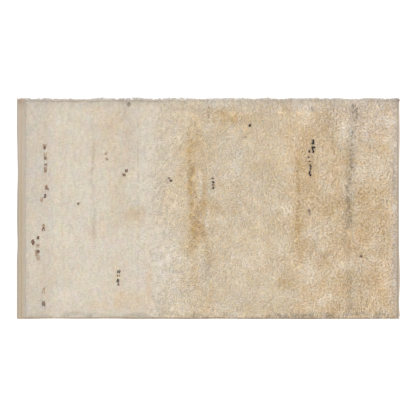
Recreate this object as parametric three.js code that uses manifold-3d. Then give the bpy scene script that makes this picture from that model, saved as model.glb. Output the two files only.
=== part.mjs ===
// A tulu rug: a knotted wool rug with a long, loose pile, lying flat on the floor with the pile up.
// It leaves the loom as one piece: a flat ground weave, rows of knots that make the pile, and a
// flat-woven band at each end, turned under and sewn down as a hem. So it is one solid here, a lumpy
// slab with its last locks lying out over the edges.
// Millimetres, +Z up. The origin is on the floor under the middle of all that the rug covers. X runs
// along the warps, from the worn end at -X to the deep end at +X, and Y runs along the wefts.
import * as THREE from "three";
import { mergeVertices } from "three/addons/utils/BufferGeometryUtils.js";
import Module from "manifold-3d";

const wasm = await Module();
wasm.setup();

// The rug on the floor
const LENGTH = 2114;
const WIDTH = 1207;
const WEAVE = 3; // thickness of one layer of the flat weave
const HEM = 6; // thickness where the end band is turned under, two layers
const SELVEDGE = { width: 7, thickness: 5 }; // weft turned round the outer warps on both long sides
const WORN_END = { hem: 27, band: 44 }; // widths of the hem and of the whole flat-woven band
const DEEP_END = { hem: 14, band: 22 };
const GRID = 40; // spacing of the pile's surface points
const STEP = 2; // width of a sewn-down edge's step

// The pile's thickness as it lies, along the length, measured from the worn end
const PILE_HEIGHTS = [
  { along: 0, height: 11 },
  { along: 420, height: 12 },
  { along: 860, height: 15 },
  { along: 1060, height: 21 },
  { along: 1560, height: 23 },
  { along: 1900, height: 25 },
  { along: LENGTH, height: 20 },
];

// Lumps of the pile where its middle height is MIDDLE_PILE, and smaller where it is shorter
const MIDDLE_PILE = 21;
const LUMPS = [
  { size: 92, rise: 3.6, layer: 0 },
  { size: 47, rise: 2.2, layer: 50 },
];

// Partings run across the rug where two rows of knots fall away from each other
const PARTINGS = [
  { along: 412, across: 80, span: 460, halfWidth: 26, depth: 2 },
  { along: 975, across: -40, span: 430, halfWidth: 42, depth: 6 },
  { along: 1290, across: 300, span: 190, halfWidth: 34, depth: 4 },
  { along: 1562, across: 60, span: 420, halfWidth: 38, depth: 5 },
  { along: 1826, across: -90, span: 520, halfWidth: 44, depth: 8 },
];

// How far each edge wanders in from straight: the ends by the place across, the sides by that along
const WORN_END_WANDER = [
  { at: -WIDTH / 2, inward: 0 },
  { at: -290, inward: 0 },
  { at: -200, inward: 4 },
  { at: -60, inward: 1 },
  { at: 60, inward: 2 },
  { at: 190, inward: 5 },
  { at: 320, inward: 3 },
  { at: 430, inward: 0 },
  { at: WIDTH / 2, inward: 1 },
];
const DEEP_END_WANDER = [
  { at: -WIDTH / 2, inward: 0 },
  { at: -530, inward: 4 },
  { at: -390, inward: 0 },
  { at: -180, inward: 4 },
  { at: 180, inward: 4 },
  { at: 420, inward: 1 },
  { at: WIDTH / 2, inward: 3 },
];
const SIDE_WANDER = { wave: 171, reach: 2.2, drift: 803, driftReach: 1.6 };

// Locks of pile that lie out over an edge. A lock has three sides: it is flat underneath.
const SIDE_LOCKS = [
  { side: "top", count: 100, reach: 11, width: 29, height: 15, lean: 0.35 },
  { side: "bottom", count: 84, reach: 3, width: 26, height: 12, lean: 0.3 },
];
const END_LOCKS = [
  { end: "worn", count: 44, reach: 15, width: 26, height: 10, lean: 0.5 },
  { end: "deep", count: 44, reach: 12, width: 30, height: 15, lean: 0.5 },
];
const LOCK_ROOT = 12; // length of a lock inside the slab
const LOCK_SINK = 1; // how far a lock that lies on the flat weave is sunk into it
const TIDY = 0.1; // faces that differ by less than this are merged where locks join the slab

const WOOL = new THREE.MeshStandardMaterial({
  name: "undyed_wool",
  color: 0xcdbb9f,
  roughness: 0.95,
  metalness: 0,
});

const mix = (a, b, t) => a + (b - a) * t;

const ease = (t) => {
  const held = THREE.MathUtils.clamp(t, 0, 1);
  return held * held * (3 - 2 * held);
};

// A repeatable number from 0 to 1 for whole numbers i and j
function scatter(i, j) {
  const wave = Math.sin(i * 127.1 + j * 311.7) * 43758.5453;
  return wave - Math.floor(wave);
}

// Smooth lumps from -1 to 1, about cell millimetres across
function lumps(x, y, cell, layer) {
  const [i, j] = [Math.floor(x / cell), Math.floor(y / cell)];
  const [s, t] = [ease(x / cell - i), ease(y / cell - j)];
  const corner = (di, dj) => scatter(i + di + layer, j + dj) * 2 - 1;
  return mix(mix(corner(0, 0), corner(1, 0), s), mix(corner(0, 1), corner(1, 1), s), t);
}

// The value at a place in a table whose rows are in order of their key
function along(rows, key, value, place) {
  const next = rows.findIndex((row) => row[key] >= place);
  if (next === 0) return rows[0][value];
  if (next < 0) return rows[rows.length - 1][value];
  const [a, b] = [rows[next - 1], rows[next]];
  return mix(a[value], b[value], ease((place - a[key]) / (b[key] - a[key])));
}

function sideWander(x, side) {
  const { wave, reach, drift, driftReach } = SIDE_WANDER;
  const turn = 2 * Math.PI * x;
  return reach * Math.sin(turn / wave + side) + driftReach * Math.sin(turn / drift + side);
}

// A point of the rug by its distances from the worn end and from the -Y side, on the wandering outline
function place(fromEnd, fromSide) {
  const [straightX, straightY] = [fromEnd - LENGTH / 2, fromSide - WIDTH / 2];
  const left = along(WORN_END_WANDER, "at", "inward", straightY);
  const right = along(DEEP_END_WANDER, "at", "inward", straightY);
  const x = mix(-LENGTH / 2 + left, LENGTH / 2 - right, fromEnd / LENGTH);
  const bottom = sideWander(straightX, 1);
  const top = sideWander(straightX, 4);
  const y = mix(-WIDTH / 2 + bottom, WIDTH / 2 + top, fromSide / WIDTH);
  return new THREE.Vector2(x, y);
}

function parting(fromEnd, y) {
  return PARTINGS.reduce((deepest, row) => {
    const crosswise = Math.exp(-(((fromEnd - row.along) / row.halfWidth) ** 2));
    const fades = Math.exp(-(((y - row.across) / row.span) ** 4));
    return Math.max(deepest, row.depth * crosswise * fades);
  }, 0);
}

// The height of the rug's upper side: hem, flat weave, selvedge or pile
function upperSide(fromEnd, fromSide) {
  const { x, y } = place(fromEnd, fromSide);
  const toDeepEnd = LENGTH - fromEnd;
  const toSide = Math.min(fromSide, WIDTH - fromSide);
  const hemmed = fromEnd < WORN_END.hem || toDeepEnd < DEEP_END.hem;
  const flat = hemmed ? HEM : toSide < SELVEDGE.width ? SELVEDGE.thickness : WEAVE;
  const full = along(PILE_HEIGHTS, "along", "height", fromEnd);
  const lump = LUMPS.reduce((sum, { size, rise, layer }) => sum + rise * lumps(x, y, size, layer), 0);
  const shoulder =
    ease((fromEnd - WORN_END.band) / (1.6 * full)) *
    ease((toDeepEnd - DEEP_END.band) / (1.4 * full)) *
    Math.sqrt(ease((toSide - SELVEDGE.width) / (1.5 * full)));
  const swell = (full / MIDDLE_PILE) * lump - parting(fromEnd, y);
  return flat + Math.max(0, full - flat + swell) * shoulder;
}

// Distances of the surface points, close together at the edges and GRID apart between them
function spaced(from, to) {
  const steps = Math.round((to - from) / GRID);
  return Array.from({ length: steps + 1 }, (_, i) => mix(from, to, i / steps));
}

const shoulders = [0, 9, 20];
const COLUMNS = [
  0,
  WORN_END.hem - STEP,
  WORN_END.hem,
  ...shoulders.map((run) => WORN_END.band + run),
  ...spaced(WORN_END.band + 34, LENGTH - DEEP_END.band - 40),
  ...shoulders.map((run) => LENGTH - DEEP_END.band - run).reverse(),
  LENGTH - DEEP_END.hem,
  LENGTH - DEEP_END.hem + STEP,
  LENGTH,
];
const ROWS = [
  0,
  ...shoulders.map((run) => SELVEDGE.width + run),
  ...spaced(SELVEDGE.width + 36, WIDTH - SELVEDGE.width - 36),
  ...shoulders.map((run) => WIDTH - SELVEDGE.width - run).reverse(),
  WIDTH,
];

function solidFrom(positions, triangles) {
  const geometry = new THREE.BufferGeometry();
  geometry.setAttribute("position", new THREE.Float32BufferAttribute(positions, 3));
  geometry.setIndex(triangles);
  const merged = mergeVertices(geometry, 1e-4);
  return new wasm.Manifold(
    new wasm.Mesh({
      numProp: 3,
      vertProperties: merged.getAttribute("position").array,
      triVerts: new Uint32Array(merged.index.array),
    }),
  );
}

// The slab: its upper side, a wall round the outline, and a flat underside on the floor
function slab() {
  const positions = [];
  const triangles = [];
  const across = ROWS.length;
  COLUMNS.forEach((fromEnd) => {
    ROWS.forEach((fromSide) => {
      const { x, y } = place(fromEnd, fromSide);
      positions.push(x, y, upperSide(fromEnd, fromSide));
    });
  });
  const upper = (i, j) => i * across + j;
  for (let i = 0; i < COLUMNS.length - 1; i += 1) {
    for (let j = 0; j < across - 1; j += 1) {
      const [a, b] = [upper(i, j), upper(i + 1, j)];
      const [c, d] = [upper(i + 1, j + 1), upper(i, j + 1)];
      if ((i + j) % 2) triangles.push(a, b, c, a, c, d);
      else triangles.push(a, b, d, b, c, d);
    }
  }
  const lastColumn = COLUMNS.length - 1;
  const lastRow = across - 1;
  const rim = [
    ...COLUMNS.slice(0, -1).map((_, i) => upper(i, 0)),
    ...ROWS.slice(0, -1).map((_, j) => upper(lastColumn, j)),
    ...COLUMNS.slice(1).map((_, i) => upper(lastColumn - i, lastRow)),
    ...ROWS.slice(1).map((_, j) => upper(0, lastRow - j)),
  ];
  const firstFoot = positions.length / 3;
  const outline = rim.map((point) => new THREE.Vector2(positions[3 * point], positions[3 * point + 1]));
  outline.forEach(({ x, y }) => positions.push(x, y, 0));
  rim.forEach((point, i) => {
    const next = (i + 1) % rim.length;
    const [foot, nextFoot] = [firstFoot + i, firstFoot + next];
    triangles.push(foot, nextFoot, rim[next], foot, rim[next], point);
  });
  THREE.ShapeUtils.triangulateShape(outline, []).forEach(([a, b, c]) => {
    triangles.push(firstFoot + a, firstFoot + c, firstFoot + b);
  });
  return solidFrom(positions, triangles);
}

// One lock: a three-sided tapering spike from inside the slab to a tip outside it, flat underneath
function lock({ root, direction, reach, width, height, floor }) {
  const aside = new THREE.Vector2(-direction.y, direction.x);
  const back = root.clone().addScaledVector(direction, -LOCK_ROOT);
  const left = back.clone().addScaledVector(aside, width / 2);
  const right = back.clone().addScaledVector(aside, -width / 2);
  const tip = root.clone().addScaledVector(direction, reach);
  const corners = [left, right, back, tip];
  const positions = corners.flatMap(({ x, y }) => [x, y, floor]);
  positions[3 * corners.indexOf(back) + 2] += height;
  return solidFrom(positions, [0, 1, 2, 0, 2, 3, 2, 1, 3, 1, 0, 3]);
}

// Places the locks of one edge: outward is the edge's direction, spot gives a point of its outline
function locksOf(row, index, spot, outward, floor) {
  return Array.from({ length: row.count }, (_, i) => {
    const chance = (what) => scatter(i * 3 + what, index * 17 + 5);
    const share = (i + 0.5 + 0.5 * (chance(0) - 0.5)) / row.count;
    const turn = row.lean * (chance(1) * 2 - 1);
    const size = 0.72 + 0.5 * chance(2);
    return lock({
      root: spot(share),
      direction: outward.clone().rotateAround(new THREE.Vector2(), turn),
      reach: row.reach * (0.35 + 0.9 * chance(3)),
      width: row.width * size,
      height: row.height * size,
      floor,
    });
  });
}

function sideLocks() {
  return SIDE_LOCKS.flatMap((row, index) => {
    const top = row.side === "top";
    const fromSide = top ? WIDTH : 0;
    const run = LENGTH - WORN_END.band - DEEP_END.band;
    const spot = (share) => place(WORN_END.band + share * run, fromSide);
    return locksOf(row, index, spot, new THREE.Vector2(0, top ? 1 : -1), 0);
  });
}

function endLocks() {
  return END_LOCKS.flatMap((row, index) => {
    const worn = row.end === "worn";
    const fromEnd = worn ? WORN_END.band + 2 : LENGTH - DEEP_END.band - 2;
    const spot = (share) => place(fromEnd, SELVEDGE.width + share * (WIDTH - 2 * SELVEDGE.width));
    const outward = new THREE.Vector2(worn ? -1 : 1, 0);
    return locksOf(row, index + SIDE_LOCKS.length, spot, outward, WEAVE - LOCK_SINK);
  });
}

function meshOf(name, solid, material) {
  const { vertProperties, triVerts } = solid.getMesh();
  const geometry = new THREE.BufferGeometry();
  geometry.setAttribute("position", new THREE.BufferAttribute(vertProperties, 3));
  geometry.setIndex(new THREE.BufferAttribute(triVerts, 1));
  geometry.computeVertexNormals();
  const mesh = new THREE.Mesh(geometry, material);
  mesh.name = name;
  return mesh;
}

// Moves a solid sideways until the origin is under its middle
function centred(solid) {
  const { min, max } = solid.boundingBox();
  return solid.translate([-(min[0] + max[0]) / 2, -(min[1] + max[1]) / 2, 0]);
}

const locks = [...sideLocks(), ...endLocks()];
const rug = locks.reduce((joined, next) => joined.add(next), slab());

const part = new THREE.Group();
part.add(meshOf("tulu_rug", centred(rug.asOriginal().simplify(TIDY)), WOOL));

export default part;
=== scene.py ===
import math

import bmesh
import bpy
import numpy as np
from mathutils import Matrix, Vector
from mathutils.bvhtree import BVHTree


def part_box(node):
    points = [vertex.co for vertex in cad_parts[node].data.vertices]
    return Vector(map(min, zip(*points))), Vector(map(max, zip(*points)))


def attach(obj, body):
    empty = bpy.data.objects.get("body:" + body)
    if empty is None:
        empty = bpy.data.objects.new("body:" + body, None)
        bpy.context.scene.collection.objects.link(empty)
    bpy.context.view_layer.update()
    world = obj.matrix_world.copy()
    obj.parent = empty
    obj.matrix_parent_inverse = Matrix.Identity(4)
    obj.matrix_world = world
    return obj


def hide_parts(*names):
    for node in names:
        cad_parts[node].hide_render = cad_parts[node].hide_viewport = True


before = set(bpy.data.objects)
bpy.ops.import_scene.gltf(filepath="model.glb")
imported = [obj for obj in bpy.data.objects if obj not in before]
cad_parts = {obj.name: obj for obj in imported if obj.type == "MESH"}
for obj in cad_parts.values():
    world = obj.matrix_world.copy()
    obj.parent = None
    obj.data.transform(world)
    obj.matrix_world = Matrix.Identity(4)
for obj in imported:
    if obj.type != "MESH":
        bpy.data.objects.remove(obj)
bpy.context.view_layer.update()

# The camera hangs straight over the rug and takes in a square a little wider than the rug's length. The
# rug's middle lies almost at the middle of the picture.
PICTURE = 416
VIEW_WIDTH = 2.2896
CAMERA_HEIGHT = 6.0
VIEWED_HEIGHT = 0.018
RUG_MIDDLE = (208.35, 208.02)
SENSOR_WIDTH = 36
pixel = VIEW_WIDTH / PICTURE

camera_data = bpy.data.cameras.new("overhead_camera")
camera_data.sensor_width = SENSOR_WIDTH
camera_data.lens = SENSOR_WIDTH * (CAMERA_HEIGHT - VIEWED_HEIGHT) / VIEW_WIDTH
camera = bpy.data.objects.new("overhead_camera", camera_data)
camera.location = (
    (PICTURE / 2 - RUG_MIDDLE[0]) * pixel,
    (RUG_MIDDLE[1] - PICTURE / 2) * pixel,
    CAMERA_HEIGHT,
)
bpy.context.scene.collection.objects.link(camera)
bpy.context.scene.camera = camera
bpy.context.scene.view_settings.view_transform = "Standard"

# A white floor, a wide softbox overhead, from the right and a little from the near side, and a white room
# that fills the shadows.
FLOOR_REACH = 30
FLOOR_DROP = 0.0004
FLOOR_WHITE = 0.93
FLOOR_ROUGHNESS = 0.9
KEY_STRENGTH = 1.6
KEY_SPREAD = 50
KEY_HEIGHT = 66
KEY_FROM = 60
ROOM_STRENGTH = 0.98


def feed(node, inputs):
    """Gives each of a node's inputs its value, or links it to the output that feeds it."""
    for socket, value in inputs.items():
        if isinstance(value, bpy.types.NodeSocket):
            node.id_data.links.new(value, node.inputs[socket])
        else:
            node.inputs[socket].default_value = value


def add_node(tree, kind, inputs=None, operation=None, name=None):
    """Adds a shader node to a tree and feeds it."""
    node = tree.nodes.new("ShaderNode" + kind)
    if operation:
        node.operation = operation
    if name:
        node.name = name
    feed(node, inputs or {})
    return node


floor_mesh = bpy.data.meshes.new("floor")
floor_bm = bmesh.new()
bmesh.ops.create_grid(floor_bm, x_segments=1, y_segments=1, size=FLOOR_REACH)
bmesh.ops.translate(floor_bm, vec=(0, 0, -FLOOR_DROP), verts=floor_bm.verts)
floor_bm.to_mesh(floor_mesh)
floor_bm.free()
floor = bpy.data.objects.new("floor", floor_mesh)
bpy.context.scene.collection.objects.link(floor)
floor_paint = bpy.data.materials.new("floor_paint")
floor_paint.use_nodes = True
feed(floor_paint.node_tree.nodes["Principled BSDF"], {
    "Base Color": (FLOOR_WHITE, FLOOR_WHITE, FLOOR_WHITE, 1),
    "Roughness": FLOOR_ROUGHNESS,
    "Specular IOR Level": 0.0,
})
floor_mesh.materials.append(floor_paint)

key_data = bpy.data.lights.new("key_softbox", "SUN")
key_data.energy = KEY_STRENGTH
key_data.angle = math.radians(KEY_SPREAD)
key = bpy.data.objects.new("key_softbox", key_data)
key.rotation_euler = (math.radians(90 - KEY_HEIGHT), 0, math.radians(KEY_FROM))
bpy.context.scene.collection.objects.link(key)

room = bpy.data.worlds.new("white_room")
room.use_nodes = True
seen_directly = add_node(room.node_tree, "LightPath").outputs["Is Camera Ray"]
brightness = add_node(room.node_tree, "MapRange", {
    "Value": seen_directly,
    "To Min": ROOM_STRENGTH,
    "To Max": 1.0,
})
feed(room.node_tree.nodes["Background"], {
    "Color": (1, 1, 1, 1),
    "Strength": brightness.outputs["Result"],
})
bpy.context.scene.world = room

# The ground weave is the rug's cloth: wool wefts over wool warps, 3 mm thick, with a flat-woven band at
# each end that is turned under and sewn down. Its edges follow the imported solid's.
WEAVE = 0.003
HEM = 0.006
WORN_END = {"hem": 0.027, "band": 0.044}
DEEP_END = {"hem": 0.014, "band": 0.022}
WOVEN_WIDTH = 1.207
BOTTOM_LOCKS = 0.0035
PROBE_HEIGHT = 0.001

low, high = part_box("tulu_rug")
length = high.x - low.x
near_side = low.y + BOTTOM_LOCKS
far_side = near_side + WOVEN_WIDTH

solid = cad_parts["tulu_rug"].data
solid_tree = BVHTree.FromPolygons(
    [vertex.co for vertex in solid.vertices],
    [polygon.vertices for polygon in solid.polygons],
)


def between(grid, i, j, s, t):
    """A value between four neighbours of a grid that repeats, s and t of the way from i and j."""
    a, b = i % grid.shape[0], j % grid.shape[1]
    c, d = (i + 1) % grid.shape[0], (j + 1) % grid.shape[1]
    near = grid[a, b] * (1 - s) + grid[c, b] * s
    far = grid[a, d] * (1 - s) + grid[c, d] * s
    return near * (1 - t) + far * t


def ease(t):
    """A smooth step from 0 to 1."""
    held = np.clip(t, 0, 1)
    return held * held * (3 - 2 * held)


def cloudy(x, y, cell, seed):
    """Smooth random patches from -1 to 1, about cell metres across."""
    corners = np.random.default_rng(seed).uniform(-1, 1, (64, 64))
    s, t = x / cell, y / cell
    i, j = np.floor(s).astype(int), np.floor(t).astype(int)
    return between(corners, i, j, ease(s - i), ease(t - j))


def clouds(x, y, *layers):
    """Layers of cloudy patches added up. Each is given as its swing, its cell and its seed."""
    return sum(swing * cloudy(x, y, cell, seed) for swing, cell, seed in layers)


# Shades of the undyed wool as the eye sees them, in 0 to 255. pink_fold_shade is painted shade where the
# cloth turns under at the ends, and smoke serves both for dark yarn and for painted shade along the edges.
SHADES = {
    "cream": (216, 205, 188),
    "pale": (226, 218, 206),
    "greyed_cream": (206, 195, 180),
    "honey_cream": (207, 190, 165),
    "warm_cream": (204, 183, 154),
    "honey": (188, 158, 109),
    "peach": (214, 184, 148),
    "grey": (170, 160, 148),
    "lilac_grey": (198, 183, 168),
    "smoke": (146, 132, 116),
    "hem": (190, 176, 156),
    "hem_ochre": (180, 154, 114),
    "hem_grey": (158, 148, 134),
    "pink_fold_shade": (182, 158, 140),
}
# How the wool's shade changes along the length
LENGTHWISE = [
    {"x": -1.05, "shade": "greyed_cream"},
    {"x": -0.89, "shade": "greyed_cream"},
    {"x": -0.84, "shade": "cream"},
    {"x": -0.32, "shade": "cream"},
    {"x": -0.10, "shade": "honey_cream"},
    {"x": 0.40, "shade": "honey_cream"},
    {"x": 0.50, "shade": "warm_cream"},
    {"x": 0.98, "shade": "warm_cream"},
    {"x": 1.04, "shade": "lilac_grey"},
]
# Bands of a darker or yellower yarn, stains and faded places, each a patch with soft edges, and painted
# shade along the near side, the far side and the deep end's edge. The columns are its shade, the x and y of
# its middle, how far it reaches along x and y, and its strength.
PATCHES = [
    ("honey_cream", -0.492, 0.000, 0.066, 0.616, 0.45),
    ("honey_cream", -0.541, 0.440, 0.099, 0.143, 0.50),
    ("cream", -0.949, -0.148, 0.077, 0.220, 0.40),
    ("pale", -0.277, -0.319, 0.132, 0.176, 0.55),
    ("pale", -0.365, 0.088, 0.071, 0.121, 0.28),
    ("pale", -0.321, 0.292, 0.071, 0.099, 0.35),
    ("cream", 0.934, 0.385, 0.143, 0.231, 0.40),
    ("lilac_grey", 0.972, 0.528, 0.121, 0.121, 0.35),
    ("warm_cream", 0.901, -0.038, 0.132, 0.165, 0.40),
    ("honey", 0.895, 0.017, 0.066, 0.121, 0.26),
    ("honey", 0.945, -0.556, 0.121, 0.044, 0.32),
    ("honey", 0.521, 0.429, 0.077, 0.066, 0.18),
    ("honey", -0.134, 0.275, 0.044, 0.110, 0.36),
    ("honey_cream", -0.101, 0.264, 0.066, 0.330, 0.40),
    ("pale", 0.108, 0.209, 0.099, 0.088, 0.22),
    ("pale", 0.202, -0.330, 0.154, 0.143, 0.22),
    ("pale", 0.604, -0.204, 0.071, 0.121, 0.36),
    ("honey", -0.007, -0.154, 0.014, 0.220, 0.28),
    ("honey", -0.200, 0.006, 0.014, 0.044, 0.50),
    ("grey", -0.018, -0.341, 0.017, 0.044, 0.36),
    ("honey", 0.015, -0.443, 0.014, 0.027, 0.50),
    ("honey", 0.491, 0.044, 0.012, 0.308, 0.55),
    ("honey", 0.510, 0.127, 0.030, 0.308, 0.20),
    ("smoke", 0.780, -0.424, 0.014, 0.220, 0.34),
    ("grey", 0.802, 0.209, 0.019, 0.330, 0.40),
    ("smoke", 0.802, 0.528, 0.025, 0.077, 0.40),
    ("honey", 0.661, 0.407, 0.049, 0.077, 0.26),
    ("honey", 0.686, -0.022, 0.055, 0.055, 0.40),
    ("honey", -0.167, 0.319, 0.038, 0.038, 0.30),
    ("honey", -0.409, -0.038, 0.049, 0.027, 0.38),
    ("honey", -0.646, -0.137, 0.022, 0.027, 0.22),
    ("honey", -0.916, -0.363, 0.027, 0.099, 0.26),
    ("peach", -0.327, -0.418, 0.017, 0.110, 0.45),
    ("peach", -0.624, -0.550, 0.033, 0.027, 0.40),
    ("peach", -0.442, -0.512, 0.110, 0.049, 0.45),
    ("smoke", -0.637, 0.260, 0.007, 0.235, 0.25),
    ("smoke", -0.629, -0.080, 0.007, 0.110, 0.24),
    ("smoke", -0.806, 0.099, 0.005, 0.440, 0.07),
    ("smoke", -0.734, 0.319, 0.005, 0.275, 0.06),
    ("honey", 0.031, -0.022, 0.044, 0.066, 0.25),
    ("honey", 0.802, -0.022, 0.077, 0.088, 0.28),
    ("honey", 0.703, -0.352, 0.077, 0.121, 0.18),
    ("honey", 0.868, -0.297, 0.077, 0.143, 0.20),
    ("honey", -0.123, -0.215, 0.033, 0.066, 0.30),
    ("honey_cream", -0.211, 0.072, 0.055, 0.110, 0.45),
    ("pale", -0.569, -0.215, 0.088, 0.066, 0.25),
    ("honey", -0.095, 0.165, 0.014, 0.198, 0.80),
    ("honey", -0.076, -0.099, 0.025, 0.132, 0.62),
    ("honey", -0.021, 0.017, 0.011, 0.143, 0.62),
    ("honey", -0.062, -0.038, 0.049, 0.275, 0.34),
    ("honey", -0.079, -0.297, 0.027, 0.143, 0.40),
    ("honey", -0.112, 0.341, 0.020, 0.077, 0.40),
    ("honey", -0.057, 0.330, 0.027, 0.121, 0.34),
    ("pale", -0.045, 0.121, 0.008, 0.082, 0.58),
    ("smoke", 0.774, 0.132, 0.020, 0.275, 0.55),
    ("smoke", 0.785, 0.044, 0.036, 0.605, 0.16),
    ("honey", 0.152, 0.501, 0.110, 0.066, 0.50),
    ("warm_cream", 0.752, 0.490, 0.066, 0.066, 0.30),
    ("pale", 0.670, 0.578, 0.220, 0.044, 0.40),
    ("pale", 0.758, 0.429, 0.049, 0.088, 0.40),
    ("pale", 0.890, 0.198, 0.077, 0.044, 0.40),
    ("honey", 0.763, 0.242, 0.033, 0.110, 0.35),
    ("honey", 0.449, -0.402, 0.066, 0.055, 0.28),
    ("pale", 0.752, -0.303, 0.088, 0.044, 0.30),
    ("pale", 0.548, -0.352, 0.055, 0.077, 0.35),
    ("honey", 0.846, -0.038, 0.055, 0.165, 0.25),
    ("honey", -0.024, -0.110, 0.017, 0.088, 0.30),
    ("honey", 0.504, -0.242, 0.110, 0.077, 0.14),
    ("honey", 0.681, -0.352, 0.088, 0.088, 0.16),
    ("grey", 0.559, 0.606, 0.522, 0.033, 0.45),
    ("lilac_grey", 0.504, 0.573, 0.550, 0.044, 0.35),
    ("pale", 0.791, -0.314, 0.088, 0.044, 0.24),
    ("pale", 0.802, 0.396, 0.077, 0.055, 0.10),
    ("pale", 0.537, 0.495, 0.044, 0.044, 0.25),
    ("honey", 0.659, 0.457, 0.038, 0.066, 0.35),
    ("smoke", 0.780, 0.198, 0.033, 0.055, 0.15),
    ("pale", 0.956, 0.176, 0.044, 0.055, 0.25),
    ("pale", 0.648, -0.506, 0.055, 0.044, 0.20),
    ("honey", 0.857, -0.506, 0.055, 0.044, 0.22),
    ("honey", 0.615, -0.231, 0.143, 0.088, 0.12),
    ("honey", 0.422, -0.396, 0.099, 0.055, 0.12),
    ("greyed_cream", -0.839, -0.402, 0.066, 0.044, 0.60),
    ("greyed_cream", -0.706, 0.595, 0.330, 0.027, 0.50),
    ("honey_cream", -0.552, 0.418, 0.077, 0.143, 0.30),
    ("lilac_grey", 0.901, 0.495, 0.132, 0.121, 0.30),
    ("lilac_grey", 0.350, 0.562, 0.143, 0.049, 0.30),
    ("pale", 0.053, 0.589, 0.044, 0.033, 0.40),
    ("pale", -0.145, 0.391, 0.055, 0.077, 0.25),
    ("cream", -0.976, -0.204, 0.066, 0.231, 0.45),
    ("pale", 0.802, -0.308, 0.110, 0.055, 0.25),
    ("pale", 0.648, -0.165, 0.055, 0.154, 0.20),
    ("pale", 0.202, 0.292, 0.077, 0.055, 0.20),
    ("pale", -0.046, -0.303, 0.044, 0.066, 0.25),
    ("pale", 0.548, -0.402, 0.044, 0.044, 0.22),
    ("pale", 0.648, -0.506, 0.044, 0.033, 0.25),
    ("pale", 0.548, 0.473, 0.044, 0.044, 0.25),
    ("pale", 0.449, 0.176, 0.044, 0.055, 0.18),
    ("pale", 0.449, -0.005, 0.044, 0.044, 0.18),
    ("pale", 0.648, 0.094, 0.044, 0.044, 0.25),
    ("pale", 0.053, 0.589, 0.044, 0.027, 0.35),
    ("pale", -0.145, 0.589, 0.049, 0.027, 0.30),
    ("pale", 0.846, 0.595, 0.132, 0.033, 0.25),
    ("honey_cream", 0.449, 0.589, 0.044, 0.027, 0.50),
    ("peach", 0.752, -0.259, 0.132, 0.077, 0.30),
    ("lilac_grey", 0.295, 0.391, 0.088, 0.055, 0.15),
    ("lilac_grey", 0.890, 0.391, 0.088, 0.066, 0.25),
    ("honey", -0.095, 0.154, 0.018, 0.165, 0.28),
    ("honey", -0.029, 0.011, 0.014, 0.099, 0.30),
    ("smoke", -0.095, 0.165, 0.008, 0.132, 0.16),
    ("smoke", -0.024, 0.017, 0.007, 0.077, 0.16),
    ("pale", -0.057, 0.132, 0.010, 0.066, 0.12),
    ("honey", 0.846, -0.204, 0.049, 0.055, 0.14),
    ("honey", 0.648, -0.303, 0.049, 0.044, 0.14),
    ("lilac_grey", 0.901, 0.528, 0.121, 0.077, 0.25),
    ("pale", 0.791, 0.391, 0.066, 0.088, 0.15),
    ("lilac_grey", -0.442, 0.440, 0.044, 0.165, 0.35),
    ("grey", 0.449, 0.589, 0.077, 0.027, 0.35),
    ("pale", 0.053, 0.589, 0.055, 0.022, 0.35),
    ("cream", -0.938, -0.253, 0.055, 0.198, 0.45),
    ("honey", 0.648, -0.005, 0.055, 0.055, 0.14),
    ("honey", 0.449, -0.303, 0.055, 0.055, 0.12),
    ("honey", -0.104, 0.165, 0.009, 0.187, 0.50),
    ("smoke", -0.104, 0.165, 0.007, 0.165, 0.14),
    ("honey", -0.021, 0.011, 0.009, 0.143, 0.45),
    ("smoke", -0.068, -0.077, 0.038, 0.077, 0.10),
    ("honey", -0.068, -0.077, 0.044, 0.088, 0.35),
    ("smoke", 0.796, 0.165, 0.012, 0.385, 0.10),
    ("greyed_cream", -0.750, -0.572, 0.330, 0.033, 0.40),
    ("lilac_grey", -0.596, 0.567, 0.440, 0.027, 0.30),
    ("grey", -0.442, 0.592, 0.055, 0.022, 0.25),
    ("pale", 0.075, 0.589, 0.066, 0.022, 0.30),
    ("grey", 0.788, 0.429, 0.014, 0.154, 0.35),
    ("smoke", 0.763, -0.396, 0.011, 0.187, 0.14),
    ("pale", -0.005, -0.060, 0.013, 0.082, 0.50),
    ("smoke", 0.752, -0.088, 0.017, 0.143, 0.32),
    ("honey_cream", 0.807, -0.424, 0.019, 0.121, 0.60),
    ("pale", 0.807, -0.022, 0.017, 0.209, 0.18),
    ("honey_cream", 0.895, 0.308, 0.044, 0.055, 0.50),
    ("pale", 0.747, 0.220, 0.017, 0.110, 0.10),
    ("lilac_grey", 0.928, 0.495, 0.099, 0.088, 0.22),
    ("grey", 0.449, 0.589, 0.055, 0.017, 0.25),
    ("honey", -0.068, 0.319, 0.049, 0.220, 0.12),
    # Greyer along the far side: partly greyer yarn, partly painted shade where the edge falls away from the
    # light
    ("grey", 0.0, 0.600, 3.0, 0.050, 0.15),
    ("lilac_grey", 0.80, 0.560, 0.35, 0.14, 0.45),
    # Painted shade along the near side and at the deep end's edge, where the pile falls away from the light
    ("smoke", 0.55, -0.604, 0.75, 0.017, 0.78),
    ("smoke", -0.70, -0.602, 0.50, 0.018, 0.34),
    ("smoke", 1.03, 0.0, 0.014, 1.0, 0.55),
]
# How light the yarn is against the shade that it gives the rug. Long pile shades itself, and the smooth worn
# nap doesn't. Between the two the change comes a little late, by the power SHADING_LATE.
SHADING = {"worn": (0.750, 0.762, 0.784), "middle": (1.155, 1.20, 1.255), "loose": (1.31, 1.37, 1.435)}
SHADING_LATE = 1.4
# Where the pile stops being worn, and where it starts to be tousled, along the length
WEAR = {"until": -0.52, "fades": 0.50, "wander": (0.04, 0.09, 81)}
TOUSLED = {"from": 0.15, "grows": 0.45}
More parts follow.
